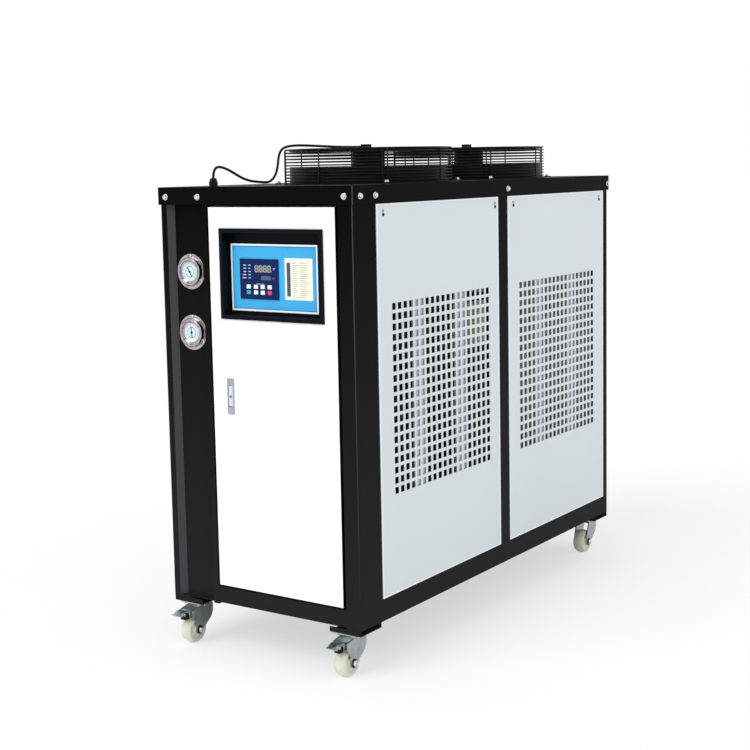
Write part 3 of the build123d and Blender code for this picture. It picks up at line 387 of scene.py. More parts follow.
# Painted highlight: the column's faces that turn the same way as its slanting fold get a lighter grey for the
# light they catch.
tree = column_coat.node_tree
facing = add(tree, "ShaderNodeTexCoord").outputs["Normal"]
toward = add(tree, "ShaderNodeVectorMath", {"operation": "DOT_PRODUCT", 1: LIT_FOLD_FACING}, {0: facing})
painted_fold_highlight = add(tree, "ShaderNodeMath", {"operation": "GREATER_THAN", 1: 0.95}, {0: toward.outputs["Value"]})
mix_in(column_coat, painted_fold_highlight.outputs[0], "48484A")

# Painted shade: the door's hinge edge is near black, a painted shadow for the gap beside the post.
tree = door_coat.node_tree
place = add(tree, "ShaderNodeTexCoord")
across = add(tree, "ShaderNodeSeparateXYZ", {}, {0: place.outputs["Object"]})
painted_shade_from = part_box("front_door")[1].x - PAINTED_SHADE_DEPTH
painted_edge_shade = add(tree, "ShaderNodeMath", {"operation": "GREATER_THAN", 1: painted_shade_from}, {0: across.outputs[0]})
mix_in(door_coat, painted_edge_shade.outputs[0], "0C0C0C")

# %% [markdown]
# ## Plated and polished metal
# The casters and bolts are pressed steel with bright zinc plate, which clouds in small patches from the
# bath. The gauge rings are polished stainless steel. Both are fully metallic, so their look comes from what
# they mirror.


# %% Metals
def metal(name, colour, roughness, grain, tint=0.12, peel=0.08, stretch=(1.0, 1.0, 1.0)):
    """A bare or plated metal whose shade and gloss cloud over patches of one grain."""
    material, tree, shader = new_material(name)
    cloud = object_noise(tree, grain, 5.0, stretch)
    vary(tree, cloud, shader, colour, tint, roughness, roughness * 0.25)
    skin(tree, cloud, shader, peel, 0.8 * MM)
    shader.inputs["Metallic"].default_value = 1.0
    return material


# Zinc clouds in patches. Bolts are brighter, washers are blackened, and fin stock has upright streaks.
zinc = metal("bright_zinc_plate", "ACB5B7", 0.32, 14 * MM, 0.1, peel=0.03)
bolt_zinc = metal("zinc_plated_bolt", "DADCDF", 0.25, 4 * MM, 0.15)
dark_steel = metal("blackened_steel_washer", "34373A", 0.4, 4 * MM, 0.2)
polished = metal("polished_stainless_steel", "B0AAAA", 0.1, 11 * MM, 0.38)
fins = metal("condenser_fin_stock", "8E9296", 0.5, 2 * MM, 0.4, stretch=(1.0, 1.0, 0.05))

# %% [markdown]
# ## The tank behind the holes
# Through the upper holes one sees the tank's beige side, with painted shade below it and on its ends: a
# near black for the shade inside the cabinet. One material does both. It is beige where two things hold:
# the height is above the painted shade's edge, and the surface faces sideways.

# %% Tank material
PAINTED_SHADE_TOP = 746 * MM
tank_skin, tree, shader = new_material("beige_tank_with_painted_shade")
place = add(tree, "ShaderNodeTexCoord")
height = add(tree, "ShaderNodeSeparateXYZ", {}, {0: place.outputs["Object"]})
facing = add(tree, "ShaderNodeSeparateXYZ", {}, {0: place.outputs["Normal"]})
side = add(tree, "ShaderNodeMath", {"operation": "ABSOLUTE"}, {0: facing.outputs[0]})
side = add(tree, "ShaderNodeMath", {"operation": "GREATER_THAN", 1: 0.5}, {0: side.outputs[0]})
above = add(tree, "ShaderNodeMath", {"operation": "GREATER_THAN", 1: PAINTED_SHADE_TOP}, {0: height.outputs[2]})
unshaded = add(tree, "ShaderNodeMath", {"operation": "MULTIPLY"}, {0: above.outputs[0], 1: side.outputs[0]})
tones = add(tree, "ShaderNodeMix", {"data_type": "RGBA"}, {0: unshaded.outputs[0]})
# Painted shade: near black below the beige side and on the tank's ends; beige where it faces the holes.
tones.inputs[6].default_value = linear("141414")
tones.inputs[7].default_value = linear("FAEBD5")
tree.links.new(tones.outputs[2], shader.inputs["Base Color"])
skin(tree, object_noise(tree, 6 * MM), shader, 0.3, 0)
shader.inputs["Roughness"].default_value = 0.7

# %% [markdown]
# ## Finish every CAD node
# Each CAD node keeps its shape and takes the finish of its real material. Names that share an ending share
# a finish.

# %% Give the CAD nodes their materials
FINISHES = {
    "guard": wire_coat,
    "collar": fan_enamel,
    "rotor": fan_enamel,
    "motor": fan_enamel,
    "compressor": fan_enamel,
    "wheel": nylon,
    "fork": zinc,
    "pedal": zinc,
    "caster_plates": zinc,
    "_column": column_coat,
    "_panel": panel_coat,
    "stiffeners": stiffener_coat_painted_shade,
    "front_door": door_coat,
    "bezel": black_abs,
    "control_plate": blue_film,
    "controller_module": navy_film,
    "gland": gland_nylon,
    "cable": cable_rubber,
    "latch_case": latch_frame,
    "latch_lever": latch_light,
    "gauges": polished,
    "tank": tank_skin,
    "coil": fins,
}
for name, node in nodes.items():
    finishes = [material for ending, material in FINISHES.items() if name.endswith(ending)]
    node.data.materials.clear()
    node.data.materials.append(finishes[0] if finishes else black_coat)
    if not finishes:
        print("black coat on", name)

# %% [markdown]
# ## The floor
# The floor is a wide pale sheet that keeps a soft shadow under the casters. A share of plain white, for
# camera rays only, lightens that shadow without any more light on the chiller. The floor is stage, not part
# of the chiller.

# %% Floor
SHADOW_LIFT = 0.6
floor_paint, tree, shader = new_material("studio_floor_paint")
shader.inputs["Base Color"].default_value = linear("FCFCFC")
shader.inputs["Roughness"].default_value = 0.9
shader.inputs["Specular IOR Level"].default_value = 0.0
seen = add(tree, "ShaderNodeLightPath").outputs["Is Camera Ray"]
share = add(tree, "ShaderNodeMath", {"operation": "MULTIPLY", 1: SHADOW_LIFT}, {0: seen})
glow = add(tree, "ShaderNodeEmission", {"Color": linear("FFFFFF"), "Strength": 1.0})
lifted = add(tree, "ShaderNodeMixShader", {}, {0: share.outputs[0], 1: shader.outputs[0], 2: glow.outputs[0]})
output = next(node for node in tree.nodes if node.type == "OUTPUT_MATERIAL")
tree.links.new(lifted.outputs[0], output.inputs["Surface"])
floor_mesh = bmesh.new()
bmesh.ops.create_grid(floor_mesh, x_segments=1, y_segments=1, size=60.0)
floor = finish(floor_mesh, "studio_floor", material=floor_paint)

# %% [markdown]
# ## Bolts and screws
# The cover's skirt is held by zinc bolts with washers. The side panels have a small dark pan-head screw at
# each upper corner with a grey rivet above it. Each fan cage has a bolt through each of its four tabs.
# Their places along the edges are measured from the picture, and the left side and the rear repeat the
# right side and the front.

# %% Skirt bolts, panel screws and cage bolts
cover_low, cover_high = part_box("top_cover")
SKIRT_BOLTS_ACROSS = (-0.287, -0.177, 0.288)
SKIRT_BOLTS_ALONG = (0.032, 0.097, 0.766, 1.430)
PANEL_SCREWS_ALONG = (0.136, 0.698, 0.804, 1.369)
SKIRT_BOLT = 7.3 * MM
BOLT_BELOW_TOP = 26 * MM
REAR_BOLT_INSET = 10 * MM
TAB_BOLT = 6.5 * MM
TAB_BOLT_OUT = 18 * MM
TAB_THICKNESS = 2.5 * MM
REAR_SCREW_INSET = 20 * MM
SCREW_BELOW_TOP = 74.5 * MM
RIVET_ABOVE_SCREW = 9.5 * MM
RIVET = [(0, 0), (3.6, 0), (3.6, 0.6), (2.6, 1.1), (0, 1.2)]
PANEL_SCREW = 4.4 * MM
SKIRT_HEIGHT = 46 * MM


def bolt(mesh, place, axis, size):
    """A hexagon bolt head of a nominal size on its washer, standing along the axis."""
    washer = [(0, 0), (size * 1.1, 0), (size * 1.1, size * 0.14), (size * 1.0, size * 0.22), (0, size * 0.22)]
    turned(mesh, place, axis, washer, 28)
    head = [(0, size * 0.2), (size * 0.88, size * 0.2), (size * 0.88, size * 0.72)]
    turned(mesh, place, axis, head + [(size * 0.74, size * 0.86), (0, size * 0.86)], 6)


def pan_screw(mesh, place, axis, radius):
    """A domed screw head with a ring round its drive."""
    dome = [(0, 0), (radius, 0), (radius * 0.97, radius * 0.3), (radius * 0.75, radius * 0.55)]
    dome += [(radius * 0.42, radius * 0.66), (radius * 0.36, radius * 0.4), (0, radius * 0.35)]
    turned(mesh, place, axis, dome, 20)


mesh = bmesh.new()
level = cover_high.z - BOLT_BELOW_TOP
for x in SKIRT_BOLTS_ACROSS:
    bolt(mesh, (x, cover_low.y, level), (0, -1, 0), SKIRT_BOLT)
    bolt(mesh, (x, cover_high.y, level), (0, 1, 0), SKIRT_BOLT)
for along in SKIRT_BOLTS_ALONG:
    y = min(cover_low.y + along, cover_high.y - REAR_BOLT_INSET)
    bolt(mesh, (cover_high.x, y, level), (1, 0, 0), SKIRT_BOLT)
    bolt(mesh, (cover_low.x, y, level), (-1, 0, 0), SKIRT_BOLT)
for end in ("front", "rear"):
    low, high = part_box(f"{end}_fan_guard")
    centre = (low + high) / 2
    reach = (high.x - low.x) / 2 + TAB_BOLT_OUT
    for k in range(4):
        angle = radians(45 + 90 * k)
        place = (centre.x + reach * cos(angle), centre.y + reach * sin(angle), low.z + TAB_THICKNESS)
        bolt(mesh, place, (0, 0, 1), TAB_BOLT)
finish(mesh, "skirt_and_cage_bolts", "cabinet", bolt_zinc, 30)
print("skirt bolts", 2 * len(SKIRT_BOLTS_ACROSS) + 2 * len(SKIRT_BOLTS_ALONG))

mesh, rivets = bmesh.new(), bmesh.new()
panel_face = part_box("right_front_panel")[1].x
for along in PANEL_SCREWS_ALONG:
    for side in (-1, 1):
        place = Vector((side * panel_face, cover_low.y + along, cover_high.z - SCREW_BELOW_TOP))
        pan_screw(mesh, place, (side, 0, 0), PANEL_SCREW)
        turned(rivets, place + Vector((0, 0, RIVET_ABOVE_SCREW)), (side, 0, 0), in_mm(RIVET), 16)
finish(rivets, "panel_hook_rivets", "cabinet", rivet_grey, 30)
low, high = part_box("rear_panel")
for x in (low.x + REAR_SCREW_INSET, high.x - REAR_SCREW_INSET):
    for z in (low.z + REAR_SCREW_INSET, high.z - REAR_SCREW_INSET):
        pan_screw(mesh, (x, high.y, z), (0, 1, 0), PANEL_SCREW)
finish(mesh, "panel_screws", "cabinet", dark_steel, 30)

# %% [markdown]
# ## Lines of light on the edges
# Folded sheet catches a thin line of light along its edges. The side panels show it white all round, and
# the cover and the near corner post show it grey on their upright fold. In CAD those edges are sharp, so
# each line is a slim bead let into the edge, in a paler colour than its sheet: a painted highlight. All four
# corners and all four panels have it.

# %% Edge beads
LEVEL_BEAD = 3.2 * MM
UPRIGHT_BEAD = 5 * MM
BEAD_PROUD = 0.3 * MM
CORNER_BEAD = 1.8 * MM

mesh = bmesh.new()
for side in ("left", "right"):
    for end in ("front", "rear"):
        low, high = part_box(f"{side}_{end}_panel")
        face_x = low.x if side == "left" else high.x
        x = (face_x - BEAD_PROUD, face_x + BEAD_PROUD)
        inner = (low.z + LEVEL_BEAD, high.z - LEVEL_BEAD)
        for z in (low.z, inner[1]):
            box(mesh, (x[0], low.y, z), (x[1], high.y, z + LEVEL_BEAD))
        for y in (low.y, high.y - UPRIGHT_BEAD):
            box(mesh, (x[0], y, inner[0]), (x[1], y + UPRIGHT_BEAD, inner[1]))
finish(mesh, "panel_edge_beads", "cabinet", painted_panel_edge_highlight)

mesh = bmesh.new()
for node in ("top_cover", "corner_posts"):
    low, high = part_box(node)
    bottom = high.z - SKIRT_HEIGHT if node == "top_cover" else low.z
    for x, way_x in ((low.x, -1), (high.x, 1)):
        for y, way_y in ((low.y, -1), (high.y, 1)):
            outer = (x + way_x * BEAD_PROUD, y + way_y * BEAD_PROUD)
            inner = (outer[0] - way_x * CORNER_BEAD, outer[1] - way_y * CORNER_BEAD)
            near = (min(outer[0], inner[0]), min(outer[1], inner[1]), bottom)
            box(mesh, near, (max(outer[0], inner[0]), max(outer[1], inner[1]), high.z - BEAD_PROUD))
finish(mesh, "corner_edge_beads", "cabinet", painted_edge_highlight)
print("edge beads", round(LEVEL_BEAD / MM, 1), "and", round(UPRIGHT_BEAD / MM, 1), "mm wide")

# %% [markdown]
# ## Round wire for the fan cages
# The CAD cages have square wire and few-sided rings. Real cages are round rod, bent and welded, so each
# cage is drawn again as round wire: ten rings up the side, eleven on the top, plain uprights and a pair at
# each tab. The flat middle disc and the tabs are sheet.

# %% Fan cages
WIRE = 3.8 * MM
CENTRE_RING = 62 * MM
CENTRE_HOLE = 36 * MM
SIDE_RINGS = 10
TOP_RINGS = 11
SPOKES = 8
TAB_HALF_WIDTH = 10 * MM
TAB_REACH = 30 * MM
TAB_FOOT = 2 * MM
PAIR_HALF_SPACING = 7 * MM
CORNER = 5 * MM
RING_STEPS = 96


def ring(centre, radius, level):
    """A closed ring of wire round a fan's axis."""
    angles = [2 * pi * k / RING_STEPS for k in range(RING_STEPS)]
    points = [centre + Vector((radius * cos(a), radius * sin(a), level)) for a in angles]
    return points, True


for end in ("front", "rear"):
    low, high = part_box(f"{end}_fan_guard")
    centre = Vector(((low.x + high.x) / 2, (low.y + high.y) / 2, low.z))
    reach = (high.x - low.x) / 2 - WIRE / 2
    tall = high.z - low.z
    levels = [n * tall / (SIDE_RINGS + 1) - WIRE / 2 for n in range(1, SIDE_RINGS + 1)]
    paths = [ring(centre, reach - WIRE, level) for level in levels + [tall - WIRE / 2]]
    for n in range(TOP_RINGS + 1):
        radius = CENTRE_RING + n * (reach - CENTRE_RING) / (TOP_RINGS + 1)
        paths.append(ring(centre, radius, tall - WIRE * 1.3))
    for n in range(SPOKES):
        angle = 2 * pi * n / SPOKES
        out = Vector((cos(angle), sin(angle), 0))
        across = Vector((-sin(angle), cos(angle), 0))
        tabbed = n % 2 == 1
        foot = TAB_FOOT if tabbed else tall / (SIDE_RINGS + 1) - WIRE
        top = tall - WIRE / 2
        for shift in (-PAIR_HALF_SPACING, PAIR_HALF_SPACING) if tabbed else (0.0,):
            base = centre + across * shift
            corner = [(reach, foot), (reach, top - CORNER), (reach - CORNER * 0.3, top - CORNER * 0.3)]
            corner += [(reach - CORNER, top), (CENTRE_RING - WIRE, top)]
            paths.append(([base + out * r + Vector((0, 0, z)) for r, z in corner], False))
    curve = wires(f"{end}_round_cage", paths, WIRE)
    cage = finish(curve, f"{end}_round_cage", "cabinet", wire_coat)
    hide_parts(f"{end}_fan_guard")

    mesh = bmesh.new()
    rim = [(CENTRE_HOLE, tall - WIRE), (CENTRE_RING, tall - WIRE), (CENTRE_RING, tall), (CENTRE_HOLE, tall)]
    turned(mesh, centre, (0, 0, 1), rim, 48, closed=True)
    for n in range(4):
        spin = Matrix.Translation(centre) @ Matrix.Rotation(radians(45 + 90 * n), 4, "Z")
        tab_low = (reach - WIRE, -TAB_HALF_WIDTH, 0)
        box(mesh, tab_low, (reach + TAB_REACH, TAB_HALF_WIDTH, TAB_THICKNESS), 0.8 * MM, spin)
    finish(mesh, f"{end}_cage_disc_and_tabs", "cabinet", wire_coat, 30)
    print(end, "cage wires", len(paths))

# %% [markdown]
# ## Gauge dials
# Each gauge has a pale dial with a ring of marks and a dark pointer, held by a polished rim in its flange.
# A dark gap parts rim and flange, and three screws hold the flange. The marks are plain bars, since a
# reader of the picture can't make out numbers there either.

# %% Gauges
DIAL_RADIUS = 26.5
DIAL_PROUD = 8 * MM
RIM = [(25.5, 0), (32.5, 0), (32.5, 1.5), (30.5, 3.4), (28, 3.8), (25.5, 1.6)]
GAP_SHADE_RING = [(32.5, -1), (35.2, -1), (35.2, 0.6), (32.5, 0.6)]
DIAL = [(0, -1), (DIAL_RADIUS, -1), (DIAL_RADIUS, 0.3), (0, 0.3)]
SCALE_RING = [(12.5, 0.3), (15.5, 0.3), (15.5, 0.45), (12.5, 0.45)]
POINTER_HUB = [(0, 0.3), (3, 0.3), (3, 2.2), (0, 2.6)]
RECESS_DEPTH = 14 * MM
MARKS = 28
MARKS_OUT = 23 * MM
UPPER_POINTER, LOWER_POINTER = -58, 96
FLANGE_THICKNESS = 3 * MM
FLANGE_SCREWS_OUT = 41.3 * MM
FLANGE_SCREW = 3.4 * MM
low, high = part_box("pressure_gauges")
flange_radius = (high.x - low.x) / 2
recess = low.y + RECESS_DEPTH
# Dial print under glass: pale, even and a little glossy, with matt inks.
dial_paper = coat("pale_dial_print", "E2F0F8", 0.35, 0.4, tint=0.01, peel=0.02, rounding=0)
dial_ink = coat("dark_dial_ink", "28323C", 0.5, 0.2, tint=0.05, rounding=0)
dial_blue = coat("blue_grey_dial_ink", "8FB2C8", 0.5, 0.2, tint=0.03, rounding=0)


faces, marks, bands, screws = bmesh.new(), bmesh.new(), bmesh.new(), bmesh.new()
rims, gap_shade_rings = bmesh.new(), bmesh.new()
for z, pointer in ((high.z - flange_radius, UPPER_POINTER), (low.z + flange_radius, LOWER_POINTER)):
    place = Vector(((low.x + high.x) / 2, recess - DIAL_PROUD, z))
    turned(faces, place, (0, -1, 0), in_mm(DIAL), 64)
    turned(bands, place, (0, -1, 0), in_mm(SCALE_RING), 48, closed=True)
    turned(rims, place, (0, -1, 0), in_mm(RIM), 64, closed=True)
    turned(gap_shade_rings, place, (0, -1, 0), in_mm(GAP_SHADE_RING), 64, closed=True)
    for k in range(MARKS):
        angle = radians(225 - k * 10)
        length = 5 * MM if k % 3 == 0 else 2.6 * MM
        spin = Matrix.Translation(place) @ Matrix.Rotation(-angle, 4, "Y")
        box(marks, (MARKS_OUT - length, -0.5 * MM, -0.4 * MM), (MARKS_OUT, -0.3 * MM, 0.4 * MM), 0, spin)
    spin = Matrix.Translation(place) @ Matrix.Rotation(-radians(pointer), 4, "Y")
    box(marks, (-13 * MM, -1.6 * MM, -1.0 * MM), (17 * MM, -1.0 * MM, 1.0 * MM), 0.2 * MM, spin)
    turned(marks, place, (0, -1, 0), in_mm(POINTER_HUB), 20)
    for k in range(3):
        angle = radians(90 + 120 * k)
        across, up_by = FLANGE_SCREWS_OUT * cos(angle), FLANGE_SCREWS_OUT * sin(angle)
        pan_screw(screws, (place.x + across, recess - FLANGE_THICKNESS, z + up_by), (0, -1, 0), FLANGE_SCREW)
finish(faces, "gauge_dials", "cabinet", dial_paper, 30)
finish(rims, "gauge_rims", "cabinet", polished, 20)
# Painted shade: the black ring between rim and flange stands for the shadow in the gap there.
finish(gap_shade_rings, "gauge_gap_shades", "cabinet", black_abs, 30)
finish(bands, "gauge_scale_rings", "cabinet", dial_blue, 30)
finish(marks, "gauge_marks_and_pointers", "cabinet", dial_ink, 30)
finish(screws, "gauge_flange_screws", "cabinet", bolt_zinc, 30)
print("gauge flange", round(2 * flange_radius / MM, 1), "mm across")

# %% [markdown]
# ## The control plate
# The plate is a blue film with a white border. On it sit the navy controller and a cream sheet with a dark
# strip. Screen-printed ink on film is smooth and even, so each ink is a plain coat with hardly any tint or
# peel. Prints are thin raised bars instead of a picture on the surface, so they stay sharp from close by
# and need no image.

# %% Control plate prints
INK = 0.25 * MM
BORDER_WIDTH = 4.5 * MM
LINE_INSET = 6.0 * MM
LINE_WIDTH = 1.2 * MM
SHEET_SIZE = (87, 105)
SHEET_LINES = 17
LINE_PITCH = 5.3
plate_low, plate_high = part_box("control_plate")
unit_low, unit_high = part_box("controller_module")
# Screen-printed inks: flat and smooth.
border_ink = coat("white_border_print", "FFFFFF", 0.35, 0.3, tint=0.01, rounding=0)
line_ink = coat("blue_line_print", "1F78B8", 0.35, 0.3, tint=0.01, rounding=0)
sheet_paper = coat("cream_sheet_print", "F8FAE6", 0.4, 0.3, tint=0.01, rounding=0)
strip_ink = coat("slate_strip_print", "4A5560", 0.4, 0.3, tint=0.03, rounding=0)
text_ink = coat("grey_line_print", "8E9488", 0.4, 0.3, tint=0.03, rounding=0)


def frame_of_bars(mesh, low, high, face, inset, width):
    """Four thin bars that make a border inside a rectangle seen from the front."""
    x0, x1, z0, z1 = low.x + inset, high.x - inset, low.z + inset, high.z - inset
    box(mesh, (x0, face - INK, z0), (x1, face, z0 + width))
    box(mesh, (x0, face - INK, z1 - width), (x1, face, z1))
    box(mesh, (x0, face - INK, z0 + width), (x0 + width, face, z1 - width))
    box(mesh, (x1 - width, face - INK, z0 + width), (x1, face, z1 - width))


def printed(mesh, corner, face, spots):
    """Thin bars on a front face. A spot is left, top, width and height in millimetres from the corner."""
    for left, top, width, tall in spots:
        low = (corner[0] + left * MM, face - INK, corner[1] - (top + tall) * MM)
        box(mesh, low, (corner[0] + (left + width) * MM, face, corner[1] - top * MM))


border, line, sheet, strip, text = bmesh.new(), bmesh.new(), bmesh.new(), bmesh.new(), bmesh.new()
frame_of_bars(border, plate_low, plate_high, plate_low.y, 0, BORDER_WIDTH)
frame_of_bars(line, plate_low, plate_high, plate_low.y, LINE_INSET, LINE_WIDTH)
SHEET_CORNER = (plate_low.x + 174 * MM, plate_high.z - 34 * MM)
printed(sheet, SHEET_CORNER, plate_low.y, [(0, 0, *SHEET_SIZE)])
printed(strip, SHEET_CORNER, plate_low.y - INK, [(6, 11.5, 11.5, 85)])
rows = [12 + LINE_PITCH * k for k in range(SHEET_LINES)]
lines = [(24, top, 12 + 6 * ((k * 5) % 3) / 2, 1.1) for k, top in enumerate(rows)]
lines += [(47, top, 18 + 6 * ((k * 7) % 4) / 2, 1.1) for k, top in enumerate(rows)]
printed(text, SHEET_CORNER, plate_low.y - INK, lines)
finish(border, "plate_border", "door", border_ink)
finish(line, "plate_inner_line", "door", line_ink)
finish(sheet, "cream_sheet", "door", sheet_paper)
finish(strip, "sheet_dark_strip", "door", strip_ink)
finish(text, "sheet_grey_lines", "door", text_ink)
print("control plate", [round(v / MM) for v in plate_high - plate_low], "mm")

# %% [markdown]
# The controller shows four large digits over four small ones, two columns of lamp labels and two rows of
# keys. The digits are plain eights with every bar lit, as in the picture. The labels are plain bars. The
# keys are soft rubber caps with round edges that stand a little proud, so each catches its own light.

# %% Controller face
# Unlit display segments and labels are dull greys. The keys are satin silicone rubber.
digit_ink = coat("grey_digit_segments", "CFCBB8", 0.4, 0.3, tint=0.02, rounding=0)
small_ink = coat("dim_digit_segments", "8C8C94", 0.4, 0.3, tint=0.03, rounding=0)
label_ink = coat("pale_blue_labels", "B9CBE8", 0.4, 0.3, tint=0.03, rounding=0)
magenta_ink = coat("magenta_label", "8A3A8C", 0.4, 0.3, tint=0.03, rounding=0)
key_white = coat("white_rubber_key", "F2F5F8", 0.4, 0.35, tint=0.01)
key_green = coat("green_rubber_key", "35B39A", 0.4, 0.35, tint=0.02)
key_red = coat("pink_red_rubber_key", "E0426C", 0.4, 0.35, tint=0.02)
UNIT_CORNER = (unit_low.x, unit_high.z)
LARGE_DIGITS_LEFT, LARGE_PITCH = 49, 13.6
SMALL_DIGITS_LEFT, SMALL_PITCH = 70, 7.8
LABEL_ROWS = ((15, 9, 8), (23, 9, 6), (31.5, 9, 8), (39.5, 12, 8), (47.5, 13, 8))
face = unit_low.y


def eight(left, top, width, tall, stroke):
    """The seven bars of a figure eight as spots for printed."""
    inner = width - 2 * stroke
    half = (tall - 3 * stroke) / 2
    spots = [(left + stroke, top + k * (half + stroke), inner, stroke) for k in range(3)]
    for side in (0, width - stroke):
        spots += [(left + side, top + stroke + k * (half + stroke), stroke, half) for k in range(2)]
    return spots


big, small, labels, magenta = bmesh.new(), bmesh.new(), bmesh.new(), bmesh.new()
for k in range(4):
    left = LARGE_DIGITS_LEFT + LARGE_PITCH * k
    printed(big, UNIT_CORNER, face, eight(left, 16, 11.2, 17.5, 2.3))
    printed(big, UNIT_CORNER, face, [(left + 11.6, 31.6, 1.6, 1.9)])
    printed(small, UNIT_CORNER, face, eight(SMALL_DIGITS_LEFT + SMALL_PITCH * k, 43, 6.4, 10.5, 1.5))
printed(labels, UNIT_CORNER, face, [(108, 22.5, 7, 1.6), (108, 25.5, 4, 1.4), (54, 63, 25, 1.4)])
for top, left_width, right_width in LABEL_ROWS:
    row = [(21 - left_width, top, left_width, 2.6), (28, top, right_width, 2.2)]
    printed(labels, UNIT_CORNER, face, row)
printed(magenta, UNIT_CORNER, face, [(105, 46.5, 9, 1.8), (105, 49.5, 6, 1.8)])
finish(big, "large_digits", "door", digit_ink)
finish(small, "small_digits", "door", small_ink)
finish(labels, "lamp_labels", "door", label_ink)
finish(magenta, "unit_label", "door", magenta_ink)

KEY_COLUMNS = (28.3, 51.8, 73.8, 96.4)
KEY_ROWS = (71.0, 85.5)
KEY_HALF_WIDTH = 6.8 * MM
KEY_HALF_HEIGHT = 5.3 * MM
KEY_PROUD = 1.4 * MM
KEY_SUNK = 0.4 * MM
TONES = {(1, 0): "green", (1, 3): "red"}
keys = {"white": (bmesh.new(), key_white), "green": (bmesh.new(), key_green), "red": (bmesh.new(), key_red)}
for row, top in enumerate(KEY_ROWS):
    for column, left in enumerate(KEY_COLUMNS):
        tone = TONES.get((row, column), "white")
        x, z = UNIT_CORNER[0] + left * MM, UNIT_CORNER[1] - top * MM
        key_low = (x - KEY_HALF_WIDTH, face - KEY_PROUD, z - KEY_HALF_HEIGHT)
        box(keys[tone][0], key_low, (x + KEY_HALF_WIDTH, face + KEY_SUNK, z + KEY_HALF_HEIGHT), 1.2 * MM)
for tone, (mesh, material) in keys.items():
    finish(mesh, f"{tone}_keys", "door", material, 40)
print("keys", len(KEY_COLUMNS) * len(KEY_ROWS))

# %% [markdown]
# ## Latch lock
# The lever of this flush latch has a small lock cylinder a little below its middle, with a dark keyway. The
# cylinder is turned zinc, and the keyway is two thin dark bars on it, a narrow slot with a wider head, as
# painted shade for the hollow slot. Both ride on the lever.

# %% Latch lock
LOCK_ABOVE_FOOT = 25 * MM
LOCK = [(0, -0.5), (4.6, -0.5), (4.6, 0.6), (4.1, 0.9), (0, 0.9)]
KEYWAY_SHADE_BARS = ((0.9, -2.6, 2.6), (1.6, 0.6, 2.8))
low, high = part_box("latch_lever")
middle = ((low.x + high.x) / 2, low.y, low.z + LOCK_ABOVE_FOOT)
mesh = bmesh.new()
turned(mesh, middle, (0, -1, 0), in_mm(LOCK), 28)
finish(mesh, "lock_cylinder", "latch", zinc, 30)
# Painted shade: the keyway's dark bars stand for the shadow inside the slot.
mesh = bmesh.new()
for half_x, z0, z1 in KEYWAY_SHADE_BARS:
    lower = (middle[0] - half_x * MM, low.y - 1.1 * MM, middle[2] + z0 * MM)
    box(mesh, lower, (middle[0] + half_x * MM, low.y - 0.8 * MM, middle[2] + z1 * MM))
finish(mesh, "lock_keyway_shade", "latch", dial_ink)
print("lock at", [round(v, 3) for v in middle])

# %% [markdown]
# ## Caster hardware
# Each caster plate hangs from its bracket on four bolts. A bright domed nut on a dark washer closes each
# axle. The brake pedal is pressed from sheet: a bent plate that reaches forward in a thin tongue, with a
# round pin head on both sides and a dark rubber pad below it for the tread. The wide plate and the tongue
# are two sheets bent along one side view each, because a pressed part keeps its thickness. Its points are
# at the heights measured in the picture.

# %% Caster hardware
PEDAL_PLATE = [(-682, 92.5), (-690, 95), (-706, 97.5), (-722, 97), (-731, 93), (-734, 86)]
PEDAL_TONGUE = [(-716, 97), (-728, 96.5), (-738, 94.5), (-748, 94.5)]
AXLE_NUT = [(0, 0), (8.2, 0), (8.2, 5.2), (6.6, 6.4), (3.8, 6.8), (3.6, 7.6), (0, 7.8)]
AXLE_WASHER = [(4, 0), (12, 0), (12, 0.9), (11.4, 1.3), (4, 1.3)]
PEDAL_PIN = [(0, -1.5), (4.2, -1.5), (4.2, 1.2), (3, 2.2), (0, 2.4)]
PIN_PLACE = (-722 * MM, 90 * MM)
CHEEK_HALF = 1.2 * MM
TONGUE_HALF = 9 * MM
PLATE_HALF = (33 * MM, 42 * MM)
PLATE_BOLTS = (24 * MM, 33 * MM)
PLATE_BOLT = 5.5 * MM
AXLE_INSET = 5 * MM
low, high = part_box("caster_plates")
mesh = bmesh.new()
for x in (low.x + PLATE_HALF[0], high.x - PLATE_HALF[0]):
    for y in (low.y + PLATE_HALF[1], high.y - PLATE_HALF[1]):
        for dx in (-PLATE_BOLTS[0], PLATE_BOLTS[0]):
            for dy in (-PLATE_BOLTS[1], PLATE_BOLTS[1]):
                bolt(mesh, (x + dx, y + dy, high.z - 3 * MM), (0, 0, -1), PLATE_BOLT)
finish(mesh, "caster_plate_bolts", "cabinet", bolt_zinc, 30)

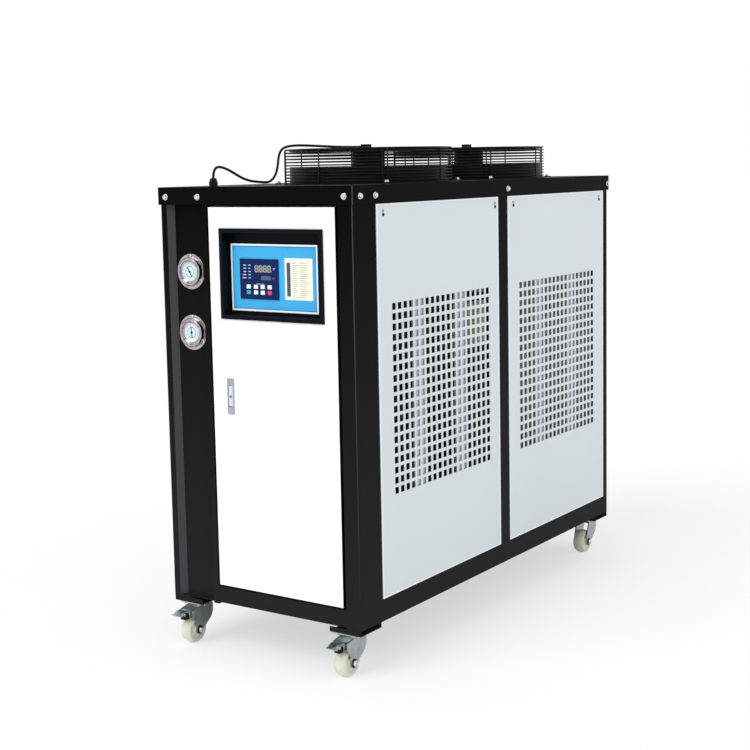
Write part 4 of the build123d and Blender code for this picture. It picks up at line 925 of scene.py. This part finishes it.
for end in ("front", "rear"):
    for side in ("left", "right"):
        low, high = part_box(f"{end}_{side}_fork")
        wheel_low, wheel_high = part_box(f"{end}_{side}_wheel")
        axle_y, axle_z = (wheel_low.y + wheel_high.y) / 2, (wheel_low.z + wheel_high.z) / 2
        washers, nuts = bmesh.new(), bmesh.new()
        for x, way in ((low.x + AXLE_INSET, -1), (high.x - AXLE_INSET, 1)):
            turned(washers, (x, axle_y, axle_z), (way, 0, 0), in_mm(AXLE_WASHER), 28, closed=True)
            turned(nuts, (x, axle_y, axle_z), (way, 0, 0), in_mm(AXLE_NUT), 6)
        swivel = f"{end}_{side}_swivel"
        finish(washers, f"{end}_{side}_axle_washers", swivel, dark_steel, 30)
        finish(nuts, f"{end}_{side}_axle_nuts", swivel, bolt_zinc, 30)
        if end == "front":
            pedal_low, pedal_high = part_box(f"{end}_{side}_pedal")
            x, half = (pedal_low.x + pedal_high.x) / 2, (pedal_high.x - pedal_low.x) / 2
            mesh = bmesh.new()
            bent_sheet(mesh, in_mm(PEDAL_PLATE), x - half, x + half, 2.5 * MM)
            bent_sheet(mesh, in_mm(PEDAL_TONGUE), x - TONGUE_HALF, x + TONGUE_HALF, 2 * MM)
            for way in (-1, 1):
                cheek = x + way * (half - CHEEK_HALF)
                cheek_high = (cheek + CHEEK_HALF, -684 * MM, 95 * MM)
                box(mesh, (cheek - CHEEK_HALF, -703 * MM, 82 * MM), cheek_high, 0.5 * MM)
                turned(mesh, (x + way * half, *PIN_PLACE), (way, 0, 0), in_mm(PEDAL_PIN), 20)
            pedal = finish(mesh, f"{side}_pressed_pedal", f"{end}_{side}_brake", zinc, 30)
            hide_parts(f"{end}_{side}_pedal")
            mesh = bmesh.new()
            pad_high = (x + TONGUE_HALF, -697 * MM, 85 * MM)
            box(mesh, (x - TONGUE_HALF, -713 * MM, 71 * MM), pad_high, 1.5 * MM)
            finish(mesh, f"{side}_brake_pad", f"{end}_{side}_brake", pad_rubber, 40)

# %% [markdown]
# ## The fan cable
# A round rubber cable comes up out of the gland, drops on the cover, climbs the front cage and runs over it
# to the motor. It is a smooth spline along the same chosen points as the CAD tube, which it replaces,
# because a curve keeps its round section in every bend. A turned seal closes the gland where the cable
# leaves it.

# %% Fan cable
CABLE_DIAMETER = 7 * MM
GLAND_SEAL = [(3.4, -9), (11.5, -9), (11.5, -3), (9.6, -2.4), (9.6, 2.5), (6, 6), (3.4, 6)]
gland_low, gland_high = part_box("cable_gland")
motor_low, motor_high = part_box("front_fan_motor")
GLAND_X = (gland_low.x + gland_high.x) / 2
END_Y = (motor_low.y + motor_high.y) / 2 - 11 * MM
END_Z = motor_high.z - 7 * MM


def over_cover(x, from_front, above):
    """A point in millimetres from the middle, from the cover's front edge and above the cover."""
    return (x * MM, cover_low.y + from_front * MM, cover_high.z + above * MM)


ROUTE = [
    (GLAND_X, cover_low.y + 60 * MM, cover_high.z + 16 * MM),
    (GLAND_X, cover_low.y + 60 * MM, cover_high.z + 38 * MM),
    (GLAND_X, cover_low.y + 78 * MM, cover_high.z + 53 * MM),
    over_cover(-170, 118, 44),
    over_cover(-172, 190, 14),
    over_cover(-182, 265, 7),
    over_cover(-199, 335, 5),
    over_cover(-216, 388, 34),
    over_cover(-220, 403, 96),
    over_cover(-190, 422, 108),
    over_cover(-128, 464, 104),
    (-70 * MM, END_Y, END_Z),
    (-11 * MM, END_Y, END_Z),
]
curve = wires("fan_cable_cord", [(ROUTE, False)], CABLE_DIAMETER, "NURBS")
curve.bevel_resolution = 4
cable = finish(curve, "fan_cable_cord", "cabinet", cable_rubber)
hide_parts("fan_cable")
mesh = bmesh.new()
turned(mesh, ROUTE[0], (0, 0, 1), in_mm(GLAND_SEAL), 32, closed=True)
finish(mesh, "gland_seal", "cabinet", gland_nylon, 40)
